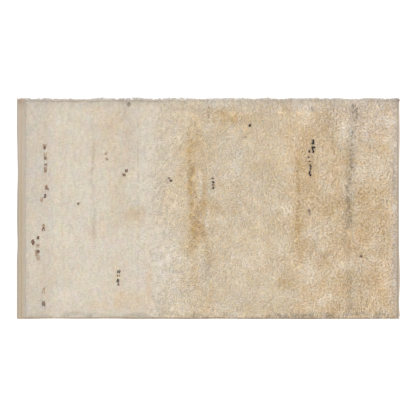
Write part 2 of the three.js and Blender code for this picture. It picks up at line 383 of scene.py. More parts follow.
# Layers of soft patches, each with its swing, its size and its seed: how far the patches stray from their
# places, how unevenly they are taken up, where it is golden or faded, and where it is darker
STRAY_X = ((0.006, 0.05, 21), (0.005, 0.02, 22))
STRAY_Y = (0.020, 0.06, 23)
MOTTLE = (0.45, 0.030, 24)
MOTTLE_MIDDLE = 0.95
HUES = ((1.0, 0.07, 27), (0.7, 0.028, 28))
BLOTCHES = ((0.04, 0.16, 25), (0.028, 0.06, 26))
# A pair of numbers says how much something is, and how much more where the pile is loose or the patch deep
GOLDEN = (0.03, 0.13)
FADED = (0.10, 0.08)
BLOTCHED = (0.5, 0.5)
LIGHTEST = 0.95
# Faint differences of hue from yarn to yarn: golden against bluish, then rosy against greenish, in small
# patches and in lines along the rows of knots, stronger where the pile is worn
TINGES = [
    {"cell": 0.030, "along": 1.0, "seed": 91, "swing": (0.006, 0.0, -0.030)},
    {"cell": 0.021, "along": 1.0, "seed": 92, "swing": (0.012, -0.012, 0.002)},
    {"cell": 0.017, "along": 0.25, "seed": 93, "swing": (0.008, -0.006, -0.020)},
    {"cell": 0.012, "along": 0.60, "seed": 94, "swing": (0.012, 0.0095, 0.001)},
]
TINGE_WORN = 1.8


def looseness(x, y):
    """How long the pile is at a place: 0 where it is worn down, 1 where all of it is left."""
    return ease((x + clouds(x, y, WEAR["wander"]) - WEAR["until"]) / WEAR["fades"])


def roughness(x):
    """How tousled the long pile is along the length: 0 in the rug's middle, 1 towards the deep end."""
    return ease((x - TOUSLED["from"]) / TOUSLED["grows"])


def grown(pair, share):
    """A value that is the pair's first number where share is 0 and has gained the second where it is 1."""
    return pair[0] + pair[1] * share


def by_wear(values, loose, rough):
    """A value at places of the rug, from what it is in worn, middle and loose pile."""
    worn, middle, full = (np.array(values[state]) for state in ("worn", "middle", "loose"))
    kept = middle + (full - middle) * rough
    return worn + (kept - worn) * loose


def linear(shade):
    """A shade of 0 to 255 as the light that it sends back."""
    share = np.array(shade) / 255
    return np.where(share <= 0.04045, share / 12.92, ((share + 0.055) / 1.055) ** 2.4)


def wool_at(x, y, flecks=1.0):
    """The colour of the yarn at each place, with its bands and stains and the painted shade along the edges.
    Flecks says how much of these each place has taken up."""
    stops = [row["x"] for row in LENGTHWISE]
    shades = np.array([linear(SHADES[row["shade"]]) for row in LENGTHWISE])
    colour = np.stack([np.interp(x, stops, shades[:, k]) for k in range(3)], axis=-1)
    stray_x = clouds(x, y, *STRAY_X)
    stray_y = clouds(x, y, STRAY_Y)
    taken_up = (MOTTLE_MIDDLE + clouds(x, y, MOTTLE)) * flecks
    for shade, middle_x, middle_y, reach_x, reach_y, strength in PATCHES:
        across = (x + stray_x - middle_x) / reach_x
        upward = (y + stray_y - middle_y) / reach_y
        share = strength * np.exp(-(across**2) - np.abs(upward) ** 3) * taken_up
        colour += (linear(SHADES[shade]) - colour) * np.clip(share, 0, 1)[..., None]
    loose = looseness(x, y)
    hue = clouds(x, y, *HUES)
    golden = grown(GOLDEN, np.maximum(hue, 0)) * loose * flecks
    faded = grown(FADED, loose) * np.maximum(-hue, 0)
    colour += (linear(SHADES["honey"]) - colour) * golden[..., None]
    colour += (linear(SHADES["pale"]) - colour) * faded[..., None]
    blotch = 1 + clouds(x, y, *BLOTCHES) * grown(BLOTCHED, loose)
    lighter = by_wear(SHADING, loose[..., None] ** SHADING_LATE, roughness(x)[..., None])
    colour = colour * blotch[..., None] * lighter
    for row in TINGES:
        tinge = cloudy(x, y * row["along"], row["cell"], row["seed"])
        tinge = tinge * (TINGE_WORN + (1 - TINGE_WORN) * loose)
        colour = colour * (1 + tinge[..., None] * np.array(row["swing"]))
    return np.clip(colour, 0, LIGHTEST)


def piece_of(mesh, material):
    """Puts a finished mesh into the scene as a piece of the rug, by its own name."""
    mesh.materials.append(material)
    piece = bpy.data.objects.new(mesh.name, mesh)
    bpy.context.scene.collection.objects.link(piece)
    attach(piece, "root")
    return piece


def paint(mesh, colours):
    """Keeps each point's yarn colour in the mesh, where the wool's material reads it."""
    layer = mesh.attributes.new("yarn", "FLOAT_COLOR", "POINT")
    opaque = np.ones((len(colours), 4), np.float32)
    opaque[:, :3] = colours
    layer.data.foreach_set("color", opaque.ravel())


NUMBER, VECTOR, COLOUR = "NodeSocketFloat", "NodeSocketVector", "NodeSocketColor"


def new_group(name, inputs, outputs):
    """A new shader node group with named inputs and outputs: the group, what it is given, and its end."""
    group = bpy.data.node_groups.new(name, "ShaderNodeTree")
    for socket, kind in inputs.items():
        group.interface.new_socket(socket, in_out="INPUT", socket_type=kind)
    for socket, kind in outputs.items():
        group.interface.new_socket(socket, in_out="OUTPUT", socket_type=kind)
    return group, group.nodes.new("NodeGroupInput").outputs, group.nodes.new("NodeGroupOutput")


def place_group(tree, group, inputs, name):
    """Places a node group in a tree and feeds it."""
    node = tree.nodes.new("ShaderNodeGroup")
    node.node_tree = group
    node.name = name
    feed(node, inputs)
    return node


def worked(tree, operation, *values):
    """The result of a sum on numbers and outputs."""
    return add_node(tree, "Math", dict(enumerate(values)), operation).outputs[0]


def scaled(tree, colour, share):
    """A colour made lighter or darker."""
    return add_node(tree, "VectorMath", {0: colour, "Scale": share}, "SCALE").outputs[0]


def mesh_layer(tree, name):
    """What a layer of the mesh's points says."""
    node = tree.nodes.new("ShaderNodeAttribute")
    node.name = name
    node.attribute_name = name
    return node.outputs


def wool_grain():
    """A group that gives wool its fibres: fine streaks of light and shade along the yarn, with the relief
    that goes with them. Along says where to read them, so that they follow a lock or lie with the weave,
    and Tangle how far they stray."""
    group, given, end = new_group(
        "wool_grain",
        {"Yarn": COLOUR, "Along": VECTOR, "Streaks": NUMBER, "Tangle": NUMBER},
        {"Wool": COLOUR, "Relief": NUMBER, "Roughness": NUMBER},
    )
    fibre = add_node(group, "TexNoise", {
        "Vector": given["Along"],
        "Distortion": given["Tangle"],
        "Scale": 1.0,
        "Detail": 3.0,
        "Roughness": 0.6,
    }).outputs["Fac"]
    shade = add_node(group, "MapRange", {
        "Value": fibre,
        "From Min": 0.3,
        "From Max": 0.7,
        "To Min": -1.0,
        "To Max": 1.0,
    }).outputs["Result"]
    rough = add_node(group, "MapRange", {"Value": fibre, "To Min": 0.82, "To Max": 1.0})
    feed(end, {
        "Wool": scaled(group, given["Yarn"], worked(group, "MULTIPLY_ADD", shade, given["Streaks"], 1.0)),
        "Relief": fibre,
        "Roughness": rough.outputs["Result"],
    })
    return group


grain = wool_grain()


def wool_material(name, stretch, streaks, relief, tangle=0.3):
    """Wool yarn: its colour comes from the mesh, its fibres from the grain group, read in the piece's own
    space with stretch, the fibres' frequency along each axis."""
    material = bpy.data.materials.new(name)
    material.use_nodes = True
    tree = material.node_tree
    place = add_node(tree, "TexCoord", name="place").outputs["Object"]
    spread = add_node(tree, "Mapping", {"Vector": place, "Scale": stretch}, name="spread")
    fibres = place_group(tree, grain, {
        "Yarn": mesh_layer(tree, "yarn")["Color"],
        "Along": spread.outputs["Vector"],
        "Streaks": streaks,
        "Tangle": tangle,
    }, "fibres").outputs
    bump = add_node(tree, "Bump", {
        "Strength": 0.5,
        "Distance": relief,
        "Height": fibres["Relief"],
    }, name="fine_relief")
    feed(tree.nodes["Principled BSDF"], {
        "Base Color": fibres["Wool"],
        "Roughness": fibres["Roughness"],
        "Normal": bump.outputs["Normal"],
        "Specular IOR Level": 0.2,
        "Sheen Weight": 0.12,
        "Sheen Roughness": 0.6,
    })
    return material


WEFTS = 520
WARPS = 210
BEAD_SHAPE = 0.6
BEAD_PAINTED_SHADE = (0.80, 0.30)
BEAD_RELIEF = 0.0010


def plain_weave():
    """A group that gives cloth the beads of its wefts, which pass over and under every other warp, with
    painted shade in the hollows between them. Place counts wefts along x and warps along y."""
    group, given, end = new_group(
        "plain_weave",
        {"Yarn": COLOUR, "Place": VECTOR},
        {"Wool": COLOUR, "Relief": NUMBER},
    )
    counted = add_node(group, "SeparateXYZ", {0: given["Place"]}).outputs

    def humps(count):
        """A hump for each thread."""
        return worked(group, "ABSOLUTE", worked(group, "SINE", worked(group, "MULTIPLY", count, math.pi)))

    weft, warp = counted["X"], counted["Y"]
    shifted = worked(group, "MULTIPLY_ADD", worked(group, "FLOOR", weft), 0.5, warp)
    relief = worked(group, "POWER", worked(group, "MULTIPLY", humps(shifted), humps(weft)), BEAD_SHAPE)
    # Painted shade: the wool is darkest in the hollows between the beads and lightest on top of them
    share = worked(group, "MULTIPLY_ADD", relief, BEAD_PAINTED_SHADE[1], BEAD_PAINTED_SHADE[0])
    feed(end, {"Wool": scaled(group, given["Yarn"], share), "Relief": relief})
    return group


def woven_material():
    """Wool cloth: the wool's grain with the weave's beads under it."""
    stretch = (WEFTS / 2, WARPS * 4, 500)
    material = wool_material("woven_wool", stretch, streaks=0.12, relief=0.0004)
    tree = material.node_tree
    place = tree.nodes["place"].outputs["Object"]
    count = add_node(tree, "Mapping", {"Vector": place, "Scale": (WEFTS, WARPS, 1)})
    beads = place_group(tree, plain_weave(), {
        "Yarn": tree.nodes["yarn"].outputs["Color"],
        "Place": count.outputs["Vector"],
    }, "beads").outputs
    feed(tree.nodes["fibres"], {"Yarn": beads["Wool"]})
    raised = add_node(tree, "Bump", {"Distance": BEAD_RELIEF, "Height": beads["Relief"]})
    feed(tree.nodes["fine_relief"], {"Normal": raised.outputs["Normal"]})
    return material


weave_wool = woven_material()


def edge_x(y, side):
    """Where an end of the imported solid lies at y: side is -1 at the worn end and 1 at the deep end."""
    hit = solid_tree.ray_cast(Vector((side * 2, y, PROBE_HEIGHT)), Vector((-side, 0, 0)))[0]
    return hit.x if hit else side * length / 2


def finished(bm, name):
    """A bmesh as a smooth mesh with its faces turned outward."""
    bmesh.ops.recalc_face_normals(bm, faces=bm.faces)
    mesh = bpy.data.meshes.new(name)
    bm.to_mesh(mesh)
    bm.free()
    mesh.polygons.foreach_set("use_smooth", [True] * len(mesh.polygons))
    return mesh


def slab(name, xs, ys, heights, underside):
    """A closed slab: a grid with its points at xs, ys and heights, pushed down to a flat underside."""
    columns, rows = heights.shape
    bm = bmesh.new()
    bmesh.ops.create_grid(bm, x_segments=columns - 1, y_segments=rows - 1, size=0.5)
    upper = bm.faces[:]
    for vertex in bm.verts:
        i = round((vertex.co.x + 0.5) * (columns - 1))
        j = round((vertex.co.y + 0.5) * (rows - 1))
        vertex.co = (xs[i, j], ys[i, j], heights[i, j])
    pushed = bmesh.ops.extrude_face_region(bm, geom=upper)["geom"]
    for vertex in [part for part in pushed if isinstance(part, bmesh.types.BMVert)]:
        vertex.co.z = underside
    under = [part for part in pushed if isinstance(part, bmesh.types.BMFace)]
    bmesh.ops.dissolve_faces(bm, faces=under)
    bm.verts.index_update()
    points = len(bm.verts)

    def turn_in_list(face):
        """A number for each face, which puts them in the same order on every run."""
        corners = [vertex.index for vertex in face.verts]
        return min(corners) * points + max(corners)

    bm.faces.sort(key=turn_in_list)
    return finished(bm, name)


def points_of(mesh):
    """The places of a mesh's points, as columns x, y and z."""
    places = np.zeros(len(mesh.vertices) * 3)
    mesh.vertices.foreach_get("co", places)
    return places.reshape(-1, 3)


BAND_STEP = 0.0025
BAND_MARGIN = 0.012
WEAVE_INSET = 0.004
WEAVE_ROWS = 130
WEAVE_COLUMNS_BETWEEN = 58
ROUNDED = (0, 0.0008, 0.0022)
HEM_STEP = 0.003
FOLD_FOOT = 0.3
RIPPLE = ((0.0005, 0.03, 31), (0.0003, 0.011, 32))


def weave_columns():
    """Distances from the worn end: close together on the bands, far apart under the pile."""
    worn = np.arange(WEAVE_INSET, WORN_END["band"] + BAND_MARGIN, BAND_STEP)
    deep = length - np.arange(WEAVE_INSET, DEEP_END["band"] + BAND_MARGIN, BAND_STEP)[::-1]
    under_pile = np.linspace(worn[-1], deep[0], WEAVE_COLUMNS_BETWEEN + 2)[1:-1]
    return np.concatenate([ROUNDED, worn, under_pile, deep, length - np.array(ROUNDED)[::-1]])


def weave_heights(from_end, y):
    """The weave's upper side: a rounded fold, the hem, the band and the ground under the pile."""
    to_end = length - from_end
    nearest = np.minimum(from_end, to_end)
    hemmed = np.where(from_end < to_end, WORN_END["hem"] - from_end, DEEP_END["hem"] - to_end)
    band = WEAVE + (HEM - WEAVE) * ease(hemmed / HEM_STEP + 0.5)
    fold = np.sqrt(1 - (1 - np.clip(nearest / HEM_STEP, 0, 1)) ** 2)
    return (band + clouds(from_end, y, *RIPPLE)) * (FOLD_FOOT + (1 - FOLD_FOOT) * fold)


edge_rows = np.linspace(near_side + WEAVE_INSET, far_side - WEAVE_INSET, WEAVE_ROWS)
from_end, row_y = np.meshgrid(weave_columns(), edge_rows, indexing="ij")
west = np.array([edge_x(y, -1) for y in edge_rows])
east = np.array([edge_x(y, 1) for y in edge_rows])
weave_x = west + (east - west) * from_end / length
ground_mesh = slab("ground_weave", weave_x, row_y, weave_heights(from_end, row_y), 0.0)

# The bands are darker than the pile, paler over the far half and dark again at the far corners, with lines
# of other yarn along the fold and the hem, and painted shade at the very edge where the cloth turns under
BAND_SHADING = 0.9
BAND_PALER = {"share": 0.6, "over": 0.35}
BAND_CORNER = {"darker": 0.12, "from": 0.53, "over": 0.04}
BAND_EDGE = 0.008
HEM_LINES = [
    {"end": "worn", "shade": "pink_fold_shade", "from_edge": 0.0, "reach": 0.005, "strength": 0.80},
    {"end": "worn", "shade": "hem_grey", "from_edge": 0.011, "reach": 0.003, "strength": 0.70},
    {"end": "worn", "shade": "hem_ochre", "from_edge": 0.024, "reach": 0.004, "strength": 0.55},
    {"end": "deep", "shade": "pink_fold_shade", "from_edge": 0.0, "reach": 0.009, "strength": 0.80},
    {"end": "deep", "shade": "hem_grey", "from_edge": 0.014, "reach": 0.003, "strength": 0.70},
]


def band_wool(x, y):
    """The colours of the flat weave, with the lines of the hem along both ends and the painted shade at
    their edges.
    """
    colour = wool_at(x, y)
    inward = {"worn": x - low.x, "deep": high.x - x}
    faded = ease(y / BAND_PALER["over"])
    hem, paler = linear(SHADES["hem"]), linear(SHADES["lilac_grey"])
    band = hem + (paler - hem) * BAND_PALER["share"] * faded[:, None]
    corner = ease((y - BAND_CORNER["from"]) / BAND_CORNER["over"])
    band = band * BAND_SHADING * (1 - BAND_CORNER["darker"] * corner)[:, None]
    on_band = np.maximum(
        ease((WORN_END["band"] + BAND_EDGE / 2 - inward["worn"]) / BAND_EDGE),
        ease((DEEP_END["band"] + BAND_EDGE / 2 - inward["deep"]) / BAND_EDGE),
    )
    colour += (band - colour) * on_band[..., None]
    for line in HEM_LINES:
        off = (inward[line["end"]] - line["from_edge"]) / line["reach"]
        share = line["strength"] * (1 - 0.5 * faded) * np.exp(-(off**2))
        colour += (linear(SHADES[line["shade"]]) * BAND_SHADING - colour) * share[..., None]
    return colour


ground_points = points_of(ground_mesh)
paint(ground_mesh, band_wool(ground_points[:, 0], ground_points[:, 1]))
ground_weave = piece_of(ground_mesh, weave_wool)
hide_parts("tulu_rug")

# The selvedges close both long sides: the wefts are turned round the two outer warps, which makes a firm
# wrapped cord along each edge.
CORD_WIDTH = 0.0075
CORD_HEIGHT = 0.0052
CORD_SIDES = 6
CORD_INSET = 0.003
WRAP_PITCH = 0.0060
WRAP_STEPS = 3
WRAP_RELIEF = 0.16
SIDE_WAVES = ((0.0010, 0.31, 0), (0.0008, 0.803, 1))
CORD_SPECKLE = (0.12, 0.011, 41)
# The cords' shades hold painted light and shade: the far cord lighter against the felt's shadow on it, the
# near cord darker for the shade along the near edge, and both darker where the pile is long
CORD_SHADES = {
    "near": {"worn": (188, 169, 149), "loose": (158, 137, 114)},
    "far": {"worn": (212, 197, 182), "loose": (192, 174, 156)},
}


def side_wander(x):
    """How far a long side strays from straight."""
    return sum(reach * math.sin(2 * math.pi * x / wave + start) for reach, wave, start in SIDE_WAVES)


def selvedge(name, side_y, inward, shades):
    """One wrapped cord along a long side, rolled up from a grid with the wraps raised round it."""
    span = length - 2 * CORD_INSET
    steps = round(span / WRAP_PITCH) * WRAP_STEPS
    bm = bmesh.new()
    bmesh.ops.create_grid(bm, x_segments=steps, y_segments=CORD_SIDES, size=0.5)
    for vertex in bm.verts:
        i = round((vertex.co.x + 0.5) * steps)
        turn = 2 * math.pi * (round((vertex.co.y + 0.5) * CORD_SIDES) % CORD_SIDES) / CORD_SIDES
        x = low.x + CORD_INSET + i * span / steps
        wrap = 1 + WRAP_RELIEF * math.cos(2 * math.pi * i / WRAP_STEPS + turn)
        middle = side_y + inward * CORD_WIDTH / 2 + side_wander(x)
        across = CORD_WIDTH / 2 * wrap * math.cos(turn)
        upward = CORD_HEIGHT / 2 * (1 + WRAP_RELIEF + wrap * math.sin(turn))
        vertex.co = (x, middle + across, upward)
    bmesh.ops.remove_doubles(bm, verts=bm.verts, dist=0.00002)
    ends = [edge for edge in bm.edges if edge.is_boundary]
    bmesh.ops.holes_fill(bm, edges=ends, sides=CORD_SIDES)
    mesh = finished(bm, name)
    x, y, _ = points_of(mesh).T
    loose = looseness(x, y)[:, None]
    wool = linear(shades["worn"]) * (1 - loose) + linear(shades["loose"]) * loose
    paint(mesh, wool * (1 + clouds(x, y, CORD_SPECKLE))[:, None])
    return piece_of(mesh, weave_wool)


near_selvedge = selvedge("near_selvedge", near_side, 1, CORD_SHADES["near"])
far_selvedge = selvedge("far_selvedge", far_side, -1, CORD_SHADES["far"])

# The pile's nap and its matted roots: the lower part of every lock, packed into a felt on the ground
# weave. Where the pile is worn the felt is most of what is left; under the long locks it lies deep.
FELTS = [
    {"name": "worn_nap", "from": -1.03, "to": -0.38, "step": 0.0050},
    {"name": "matted_roots", "from": -0.39, "to": 1.04, "step": 0.0078},
]
FELT_INSET = {"worn": 0.003, "deep": 0.004, "near": 0.008, "far": 0.006}
FELT_SHARE = {"worn": 0.92, "middle": 0.78, "loose": 0.59}
FELT_TINT = {"worn": (1.0, 0.99, 0.97), "middle": (0.96, 0.935, 0.885), "loose": (0.96, 0.92, 0.83)}
FELT_OVERLAP = 0.001
# The rows of knots in the worn nap, longer across the rug than along it, and lumps in the deeper felt: how
# high they stand, and how much lighter they are painted where they stand high and darker in the hollows, as
# painted light and shade
ROW = {"stretch": 0.45, "cell": 0.0088, "seed": 51, "rise": 0.0018, "shade": 0.056}
ROW_BREAKS = (0.0010, 0.0085, 54)
LUMP = {"cell": 0.0105, "seed": 52, "rise": 0.0022, "shade": 0.08}
# How much darker the felt is painted where the pile is half worn, for the shade of the few locks over it
HALF_WORN_FELT_SHADE = 0.075
FELT_BOLD = (0.7, 0.3)
# How the locks lie: their swirls, their turn along the length, and how strongly the nap, an edge or a
# crease pulls them over. An edge's numbers are its pull, how far away it starts and how fast it grows.
SWIRLS = ((1.4, 0.11, 61), (1.3, 0.038, 62))
SWIRL_TOUSLED = 0.3
TURN_ALONG = 0.95
TURN_AT_MIDDLE = -1.72
NAP_PULL = 1.2
EDGE_PULLS = {
    "far": (3.0, 0.10, 0.08),
    "near": (1.6, 0.12, 0.10),
    "deep": (2.5, 0.07, 0.04),
    "worn": (2.5, 0.08, 0.04),
}
CREASES = (-0.073, 0.786)
CREASE_PULL = 50
CREASE_REACH = 0.045
SURFACE_STEP = 0.008
SURFACE_MARGIN = 0.03


def surface_heights():
    """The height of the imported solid's upper side, on a grid of points SURFACE_STEP apart."""
    across = np.arange(low.x - SURFACE_MARGIN, high.x + SURFACE_MARGIN, SURFACE_STEP)
    upward = np.arange(low.y - SURFACE_MARGIN, high.y + SURFACE_MARGIN, SURFACE_STEP)
    heights = np.zeros((len(across), len(upward)))
    down = Vector((0, 0, -1))
    for i, x in enumerate(across):
        for j, y in enumerate(upward):
            hit = solid_tree.ray_cast(Vector((x, y, 1)), down)[0]
            heights[i, j] = hit.z if hit else 0
    return heights


surface = surface_heights()


def coat(x, y):
    """How high the pile reaches over a place of the floor."""
    s = np.clip((x - low.x + SURFACE_MARGIN) / SURFACE_STEP, 0, surface.shape[0] - 1.001)
    t = np.clip((y - low.y + SURFACE_MARGIN) / SURFACE_STEP, 0, surface.shape[1] - 1.001)
    i, j = s.astype(int), t.astype(int)
    return between(surface, i, j, s - i, t - j)


def edge_pull(edge, distance):
    """How strongly an edge pulls over the locks at a distance from it."""
    strength, within, over = EDGE_PULLS[edge]
    return strength * ease((within - distance) / over)


def heading(x, y):
    """Which way the locks lie: they swirl, part at the creases and fall outward along the edges. Where the
    pile is worn they all lean towards the worn end."""
    loose = looseness(x, y)
    angle = clouds(x, y, *SWIRLS) * (1 + SWIRL_TOUSLED * roughness(x)) + TURN_ALONG * x + TURN_AT_MIDDLE
    ahead = np.cos(angle) * loose - NAP_PULL * (1 - loose)
    ahead += edge_pull("deep", high.x - x) - edge_pull("worn", x - low.x)
    upward = np.sin(angle) * loose + edge_pull("far", far_side - y) - edge_pull("near", y - near_side)
    for crease in CREASES:
        ahead += CREASE_PULL * (x - crease) * np.exp(-(((x - crease) / CREASE_REACH) ** 2))
    return np.arctan2(upward, ahead)


def half_worn(loose):
    """1 where half of the pile is left, 0 where all or none of it is."""
    return 4 * loose * (1 - loose)


def felt(row):
    """The felt of one part of the rug's length, lumpy knot by knot, with its colours and how it lies."""
    start = max(row["from"], low.x + WORN_END["band"] + FELT_INSET["worn"])
    stop = min(row["to"], high.x - DEEP_END["band"] - FELT_INSET["deep"])
    across = np.linspace(start, stop, round((stop - start) / row["step"]) + 1)
    sides = near_side + FELT_INSET["near"], far_side - FELT_INSET["far"]
    upward = np.linspace(*sides, round(WOVEN_WIDTH / row["step"]))
    x, y = np.meshgrid(across, upward, indexing="ij")
    loose = looseness(x, y)
    height = np.maximum(coat(x, y) * by_wear(FELT_SHARE, loose, roughness(x)), WEAVE + FELT_OVERLAP)
    rows = ROW["rise"] * cloudy(x, y * ROW["stretch"], ROW["cell"], ROW["seed"]) + clouds(x, y, ROW_BREAKS)
    height += rows * (1 - loose) + LUMP["rise"] * cloudy(x, y, LUMP["cell"], LUMP["seed"]) * loose
    mesh = slab(row["name"], x, y, height, WEAVE - FELT_OVERLAP)
    x, y, _ = points_of(mesh).T
    loose, rough = looseness(x, y), roughness(x)
    # Painted light and shade: the patches that raise the rows and lumps make them lighter on top and darker
    # in the hollows
    shade = 1 + ROW["shade"] * cloudy(x, y * ROW["stretch"], ROW["cell"], ROW["seed"])
    shade += LUMP["shade"] * cloudy(x, y, LUMP["cell"], LUMP["seed"]) * loose
    # Painted shade: the felt darker where the pile is half worn
    shade *= 1 - HALF_WORN_FELT_SHADE * half_worn(loose)
    paint(mesh, wool_at(x, y) * by_wear(FELT_TINT, loose[:, None], rough[:, None]) * shade[:, None])
    turn = heading(x, y)
    bold = loose * grown(FELT_BOLD, rough)
    lie = np.stack([np.cos(turn), np.sin(turn), turn * 0, bold], axis=-1).astype(np.float32)
    mesh.attributes.new("lie", "FLOAT_COLOR", "POINT").data.foreach_set("color", lie.ravel())
    return piece_of(mesh, felt_wool)


# The felt's surface is layers of short curled locks, one to each cell of BED_LOCK metres, with painted shade
# between them, deeper and warmer where the pile is loose
BED_LOCK = 0.0100
BED_LONG = 0.66
BED_WIDE = 0.25
BED_CURL = 2.4
BED_RISE = (0.4, 0.6)
BED_FIBRES = {"along": 1.2, "across": 9.0, "apart": 90.0}
BED_LAYERS = 5
BED_SHIFT = 17.3
BED_STRAY = {"worn": 0.7, "loose": 2.5}
BED_RELIEF = {"worn": 0.0009, "loose": 0.0022}
BED_TINTING = {"worn": 0.18, "loose": 0.20}
SHADE_BETWEEN_LOCKS = {"worn": (0.91, 0.89, 0.85), "loose": (0.74, 0.67, 0.55)}
MIX_SOCKETS = {"FLOAT": (2, 3, 0), "VECTOR": (4, 5, 1), "RGBA": (6, 7, 2)}


def mixed(tree, kind, share, first, second):
    """The first value where share is 0 and the second where it is 1, of the kind that is given."""
    node = tree.nodes.new("ShaderNodeMix")
    node.data_type = kind
    lower, upper, result = MIX_SOCKETS[kind]
    feed(node, {0: share, lower: first, upper: second})
    return node.outputs[result]


def scattered_locks():
    """A group that strews short curled locks over the felt, one to each cell. Place is the felt's own
    space with a cell to the unit, Lie the way they point and Stray how far each turns from it. Height is
    0 between them, and Along runs with each lock's fibres."""
    group, given, end = new_group(
        "scattered_locks",
        {"Place": VECTOR, "Lie": VECTOR, "Shift": NUMBER, "Stray": NUMBER},
        {"Height": NUMBER, "Tint": NUMBER, "Along": VECTOR},
    )

    def work(operation, *values):
        """The result of a sum inside this group."""
        return worked(group, operation, *values)

    moved = add_node(group, "VectorMath", {0: given["Place"], 1: given["Shift"]}).outputs[0]
    cell = group.nodes.new("ShaderNodeTexVoronoi")
    cell.voronoi_dimensions = "2D"
    feed(cell, {"Vector": moved, "Scale": 1.0})
    chance = add_node(group, "SeparateColor", {"Color": cell.outputs["Color"]}).outputs
    from_middle = add_node(group, "VectorMath", {0: moved, 1: cell.outputs["Position"]}, "SUBTRACT")
    turned = group.nodes.new("ShaderNodeVectorRotate")
    turned.rotation_type = "Z_AXIS"
    feed(turned, {
        "Vector": from_middle.outputs[0],
        "Angle": work("MULTIPLY", work("SUBTRACT", chance["Red"], 0.5), given["Stray"]),
    })
    here = add_node(group, "SeparateXYZ", {"Vector": turned.outputs["Vector"]}).outputs
    lie = add_node(group, "SeparateXYZ", {"Vector": given["Lie"]}).outputs
    along = work("MULTIPLY_ADD", here["X"], lie["X"], work("MULTIPLY", here["Y"], lie["Y"]))
    straight = work("SUBTRACT", work("MULTIPLY", here["X"], lie["Y"]), work("MULTIPLY", here["Y"], lie["X"]))
    curl = work("MULTIPLY", work("SUBTRACT", chance["Green"], 0.5), BED_CURL)
    aside = work("MULTIPLY_ADD", work("MULTIPLY", along, along), curl, straight)
    long_share = work("DIVIDE", along, BED_LONG)
    wide_share = work("DIVIDE", aside, BED_WIDE)
    outward = work("MULTIPLY_ADD", wide_share, wide_share, work("MULTIPLY", long_share, long_share))
    round_top = work("POWER", work("MAXIMUM", work("SUBTRACT", 1.0, outward), 0.0), 0.5)
    rise = work("MULTIPLY_ADD", chance["Blue"], BED_RISE[1], BED_RISE[0])
    fibre = add_node(group, "CombineXYZ", {
        "X": work("MULTIPLY", along, BED_FIBRES["along"]),
        "Y": work("MULTIPLY", aside, BED_FIBRES["across"]),
        "Z": work("MULTIPLY", chance["Blue"], BED_FIBRES["apart"]),
    })
    feed(end, {
        "Height": work("MULTIPLY", round_top, rise),
        "Tint": chance["Red"],
        "Along": fibre.outputs["Vector"],
    })
    return group


def felt_material():
    """Felted wool: layers of matted locks over each other, with painted shade between them. The mesh says
    which way they lie, and how loose the pile is there, which makes them bolder."""
    stretch = (1 / BED_LOCK, 1 / BED_LOCK, 0)
    material = wool_material("felt_wool", stretch, streaks=0.20, relief=0.0008, tangle=0.4)
    tree = material.node_tree
    lie = mesh_layer(tree, "lie")
    bold = lie["Alpha"]
    ahead = add_node(tree, "VectorMath", {0: lie["Vector"]}, "NORMALIZE").outputs[0]

    def grows(values):
        """A value that grows from worn to loose pile."""
        return worked(tree, "MULTIPLY_ADD", bold, values["loose"] - values["worn"], values["worn"])

    stray = grows(BED_STRAY)
    locks = scattered_locks()
    height, tint, along = None, None, None
    for number in range(BED_LAYERS):
        layer = place_group(tree, locks, {
            "Place": tree.nodes["spread"].outputs["Vector"],
            "Lie": ahead,
            "Shift": BED_SHIFT * number,
            "Stray": stray,
        }, "locks").outputs
        if number == 0:
            height, tint, along = layer["Height"], layer["Tint"], layer["Along"]
            continue
        over = worked(tree, "GREATER_THAN", layer["Height"], height)
        tint = mixed(tree, "FLOAT", over, tint, layer["Tint"])
        along = mixed(tree, "VECTOR", over, along, layer["Along"])
        height = worked(tree, "MAXIMUM", layer["Height"], height)
    # Painted shade in the gaps between the locks, deeper where the pile is loose
    painted_gaps = mixed(tree, "RGBA", bold, (*SHADE_BETWEEN_LOCKS["worn"], 1), (*SHADE_BETWEEN_LOCKS["loose"], 1))
    shade = mixed(tree, "RGBA", height, painted_gaps, (1, 1, 1, 1))
    swing = worked(tree, "MULTIPLY", worked(tree, "SUBTRACT", tint, 0.5), grows(BED_TINTING))
    tinted = scaled(tree, shade, worked(tree, "ADD", swing, 1.0))
    fibres = tree.nodes["fibres"]
    feed(fibres, {"Along": along})
    wool = add_node(tree, "VectorMath", {0: fibres.outputs["Wool"], 1: tinted}, "MULTIPLY")
    feed(tree.nodes["Principled BSDF"], {"Base Color": wool.outputs[0]})
    relief = add_node(tree, "Bump", {"Strength": 1.0, "Distance": grows(BED_RELIEF), "Height": height})
    feed(tree.nodes["fine_relief"], {"Normal": relief.outputs["Normal"]})
    return material


felt_wool = felt_material()
felts = [felt(row) for row in FELTS]

# The pile: locks of loosely spun wool, each from one knot. At the worn end only short flat wisps of them
# are left. Towards the deep end they grow into long locks that lie over each other in every direction.
TUFT = {
    "stops": (0, 0.35, 0.72, 1),
    "thickness": (0.6, 1.1, 0.9, 0),
    "rise": (0.84, 0.905, 0.91, 0.87),
    "thick": 0.0015,
}
LOCK = {
    "stops": (0, 0.20, 0.48, 0.78, 1),
    "thickness": (0.45, 0.95, 1.1, 0.8, 0),
    "rise": (0.42, 0.86, 1.01, 0.98, 0.86),
    "thick": 0.0022,
}
STOPS = np.array(LOCK["stops"])
STEPS = np.diff(STOPS)
LOCK_BANDS = [
    {"name": "half_worn_pile", "from": -0.52, "to": -0.18, "rows": 0.0082, "knots": 0.0077},
    {"name": "middle_pile", "from": -0.18, "to": 0.13, "rows": 0.0071, "knots": 0.0067},
    {"name": "loose_pile", "from": 0.13, "to": 0.44, "rows": 0.0071, "knots": 0.0067},
    {"name": "long_pile", "from": 0.44, "to": 0.745, "rows": 0.0071, "knots": 0.0067},
    {"name": "deep_pile", "from": 0.745, "to": 1.04, "rows": 0.0071, "knots": 0.0067},
]
YARN_TWIST = 0.6
YARN_SCALE = 0.008
YARN_SHIFT = 7.3
STRAND_WIDE = 1.25


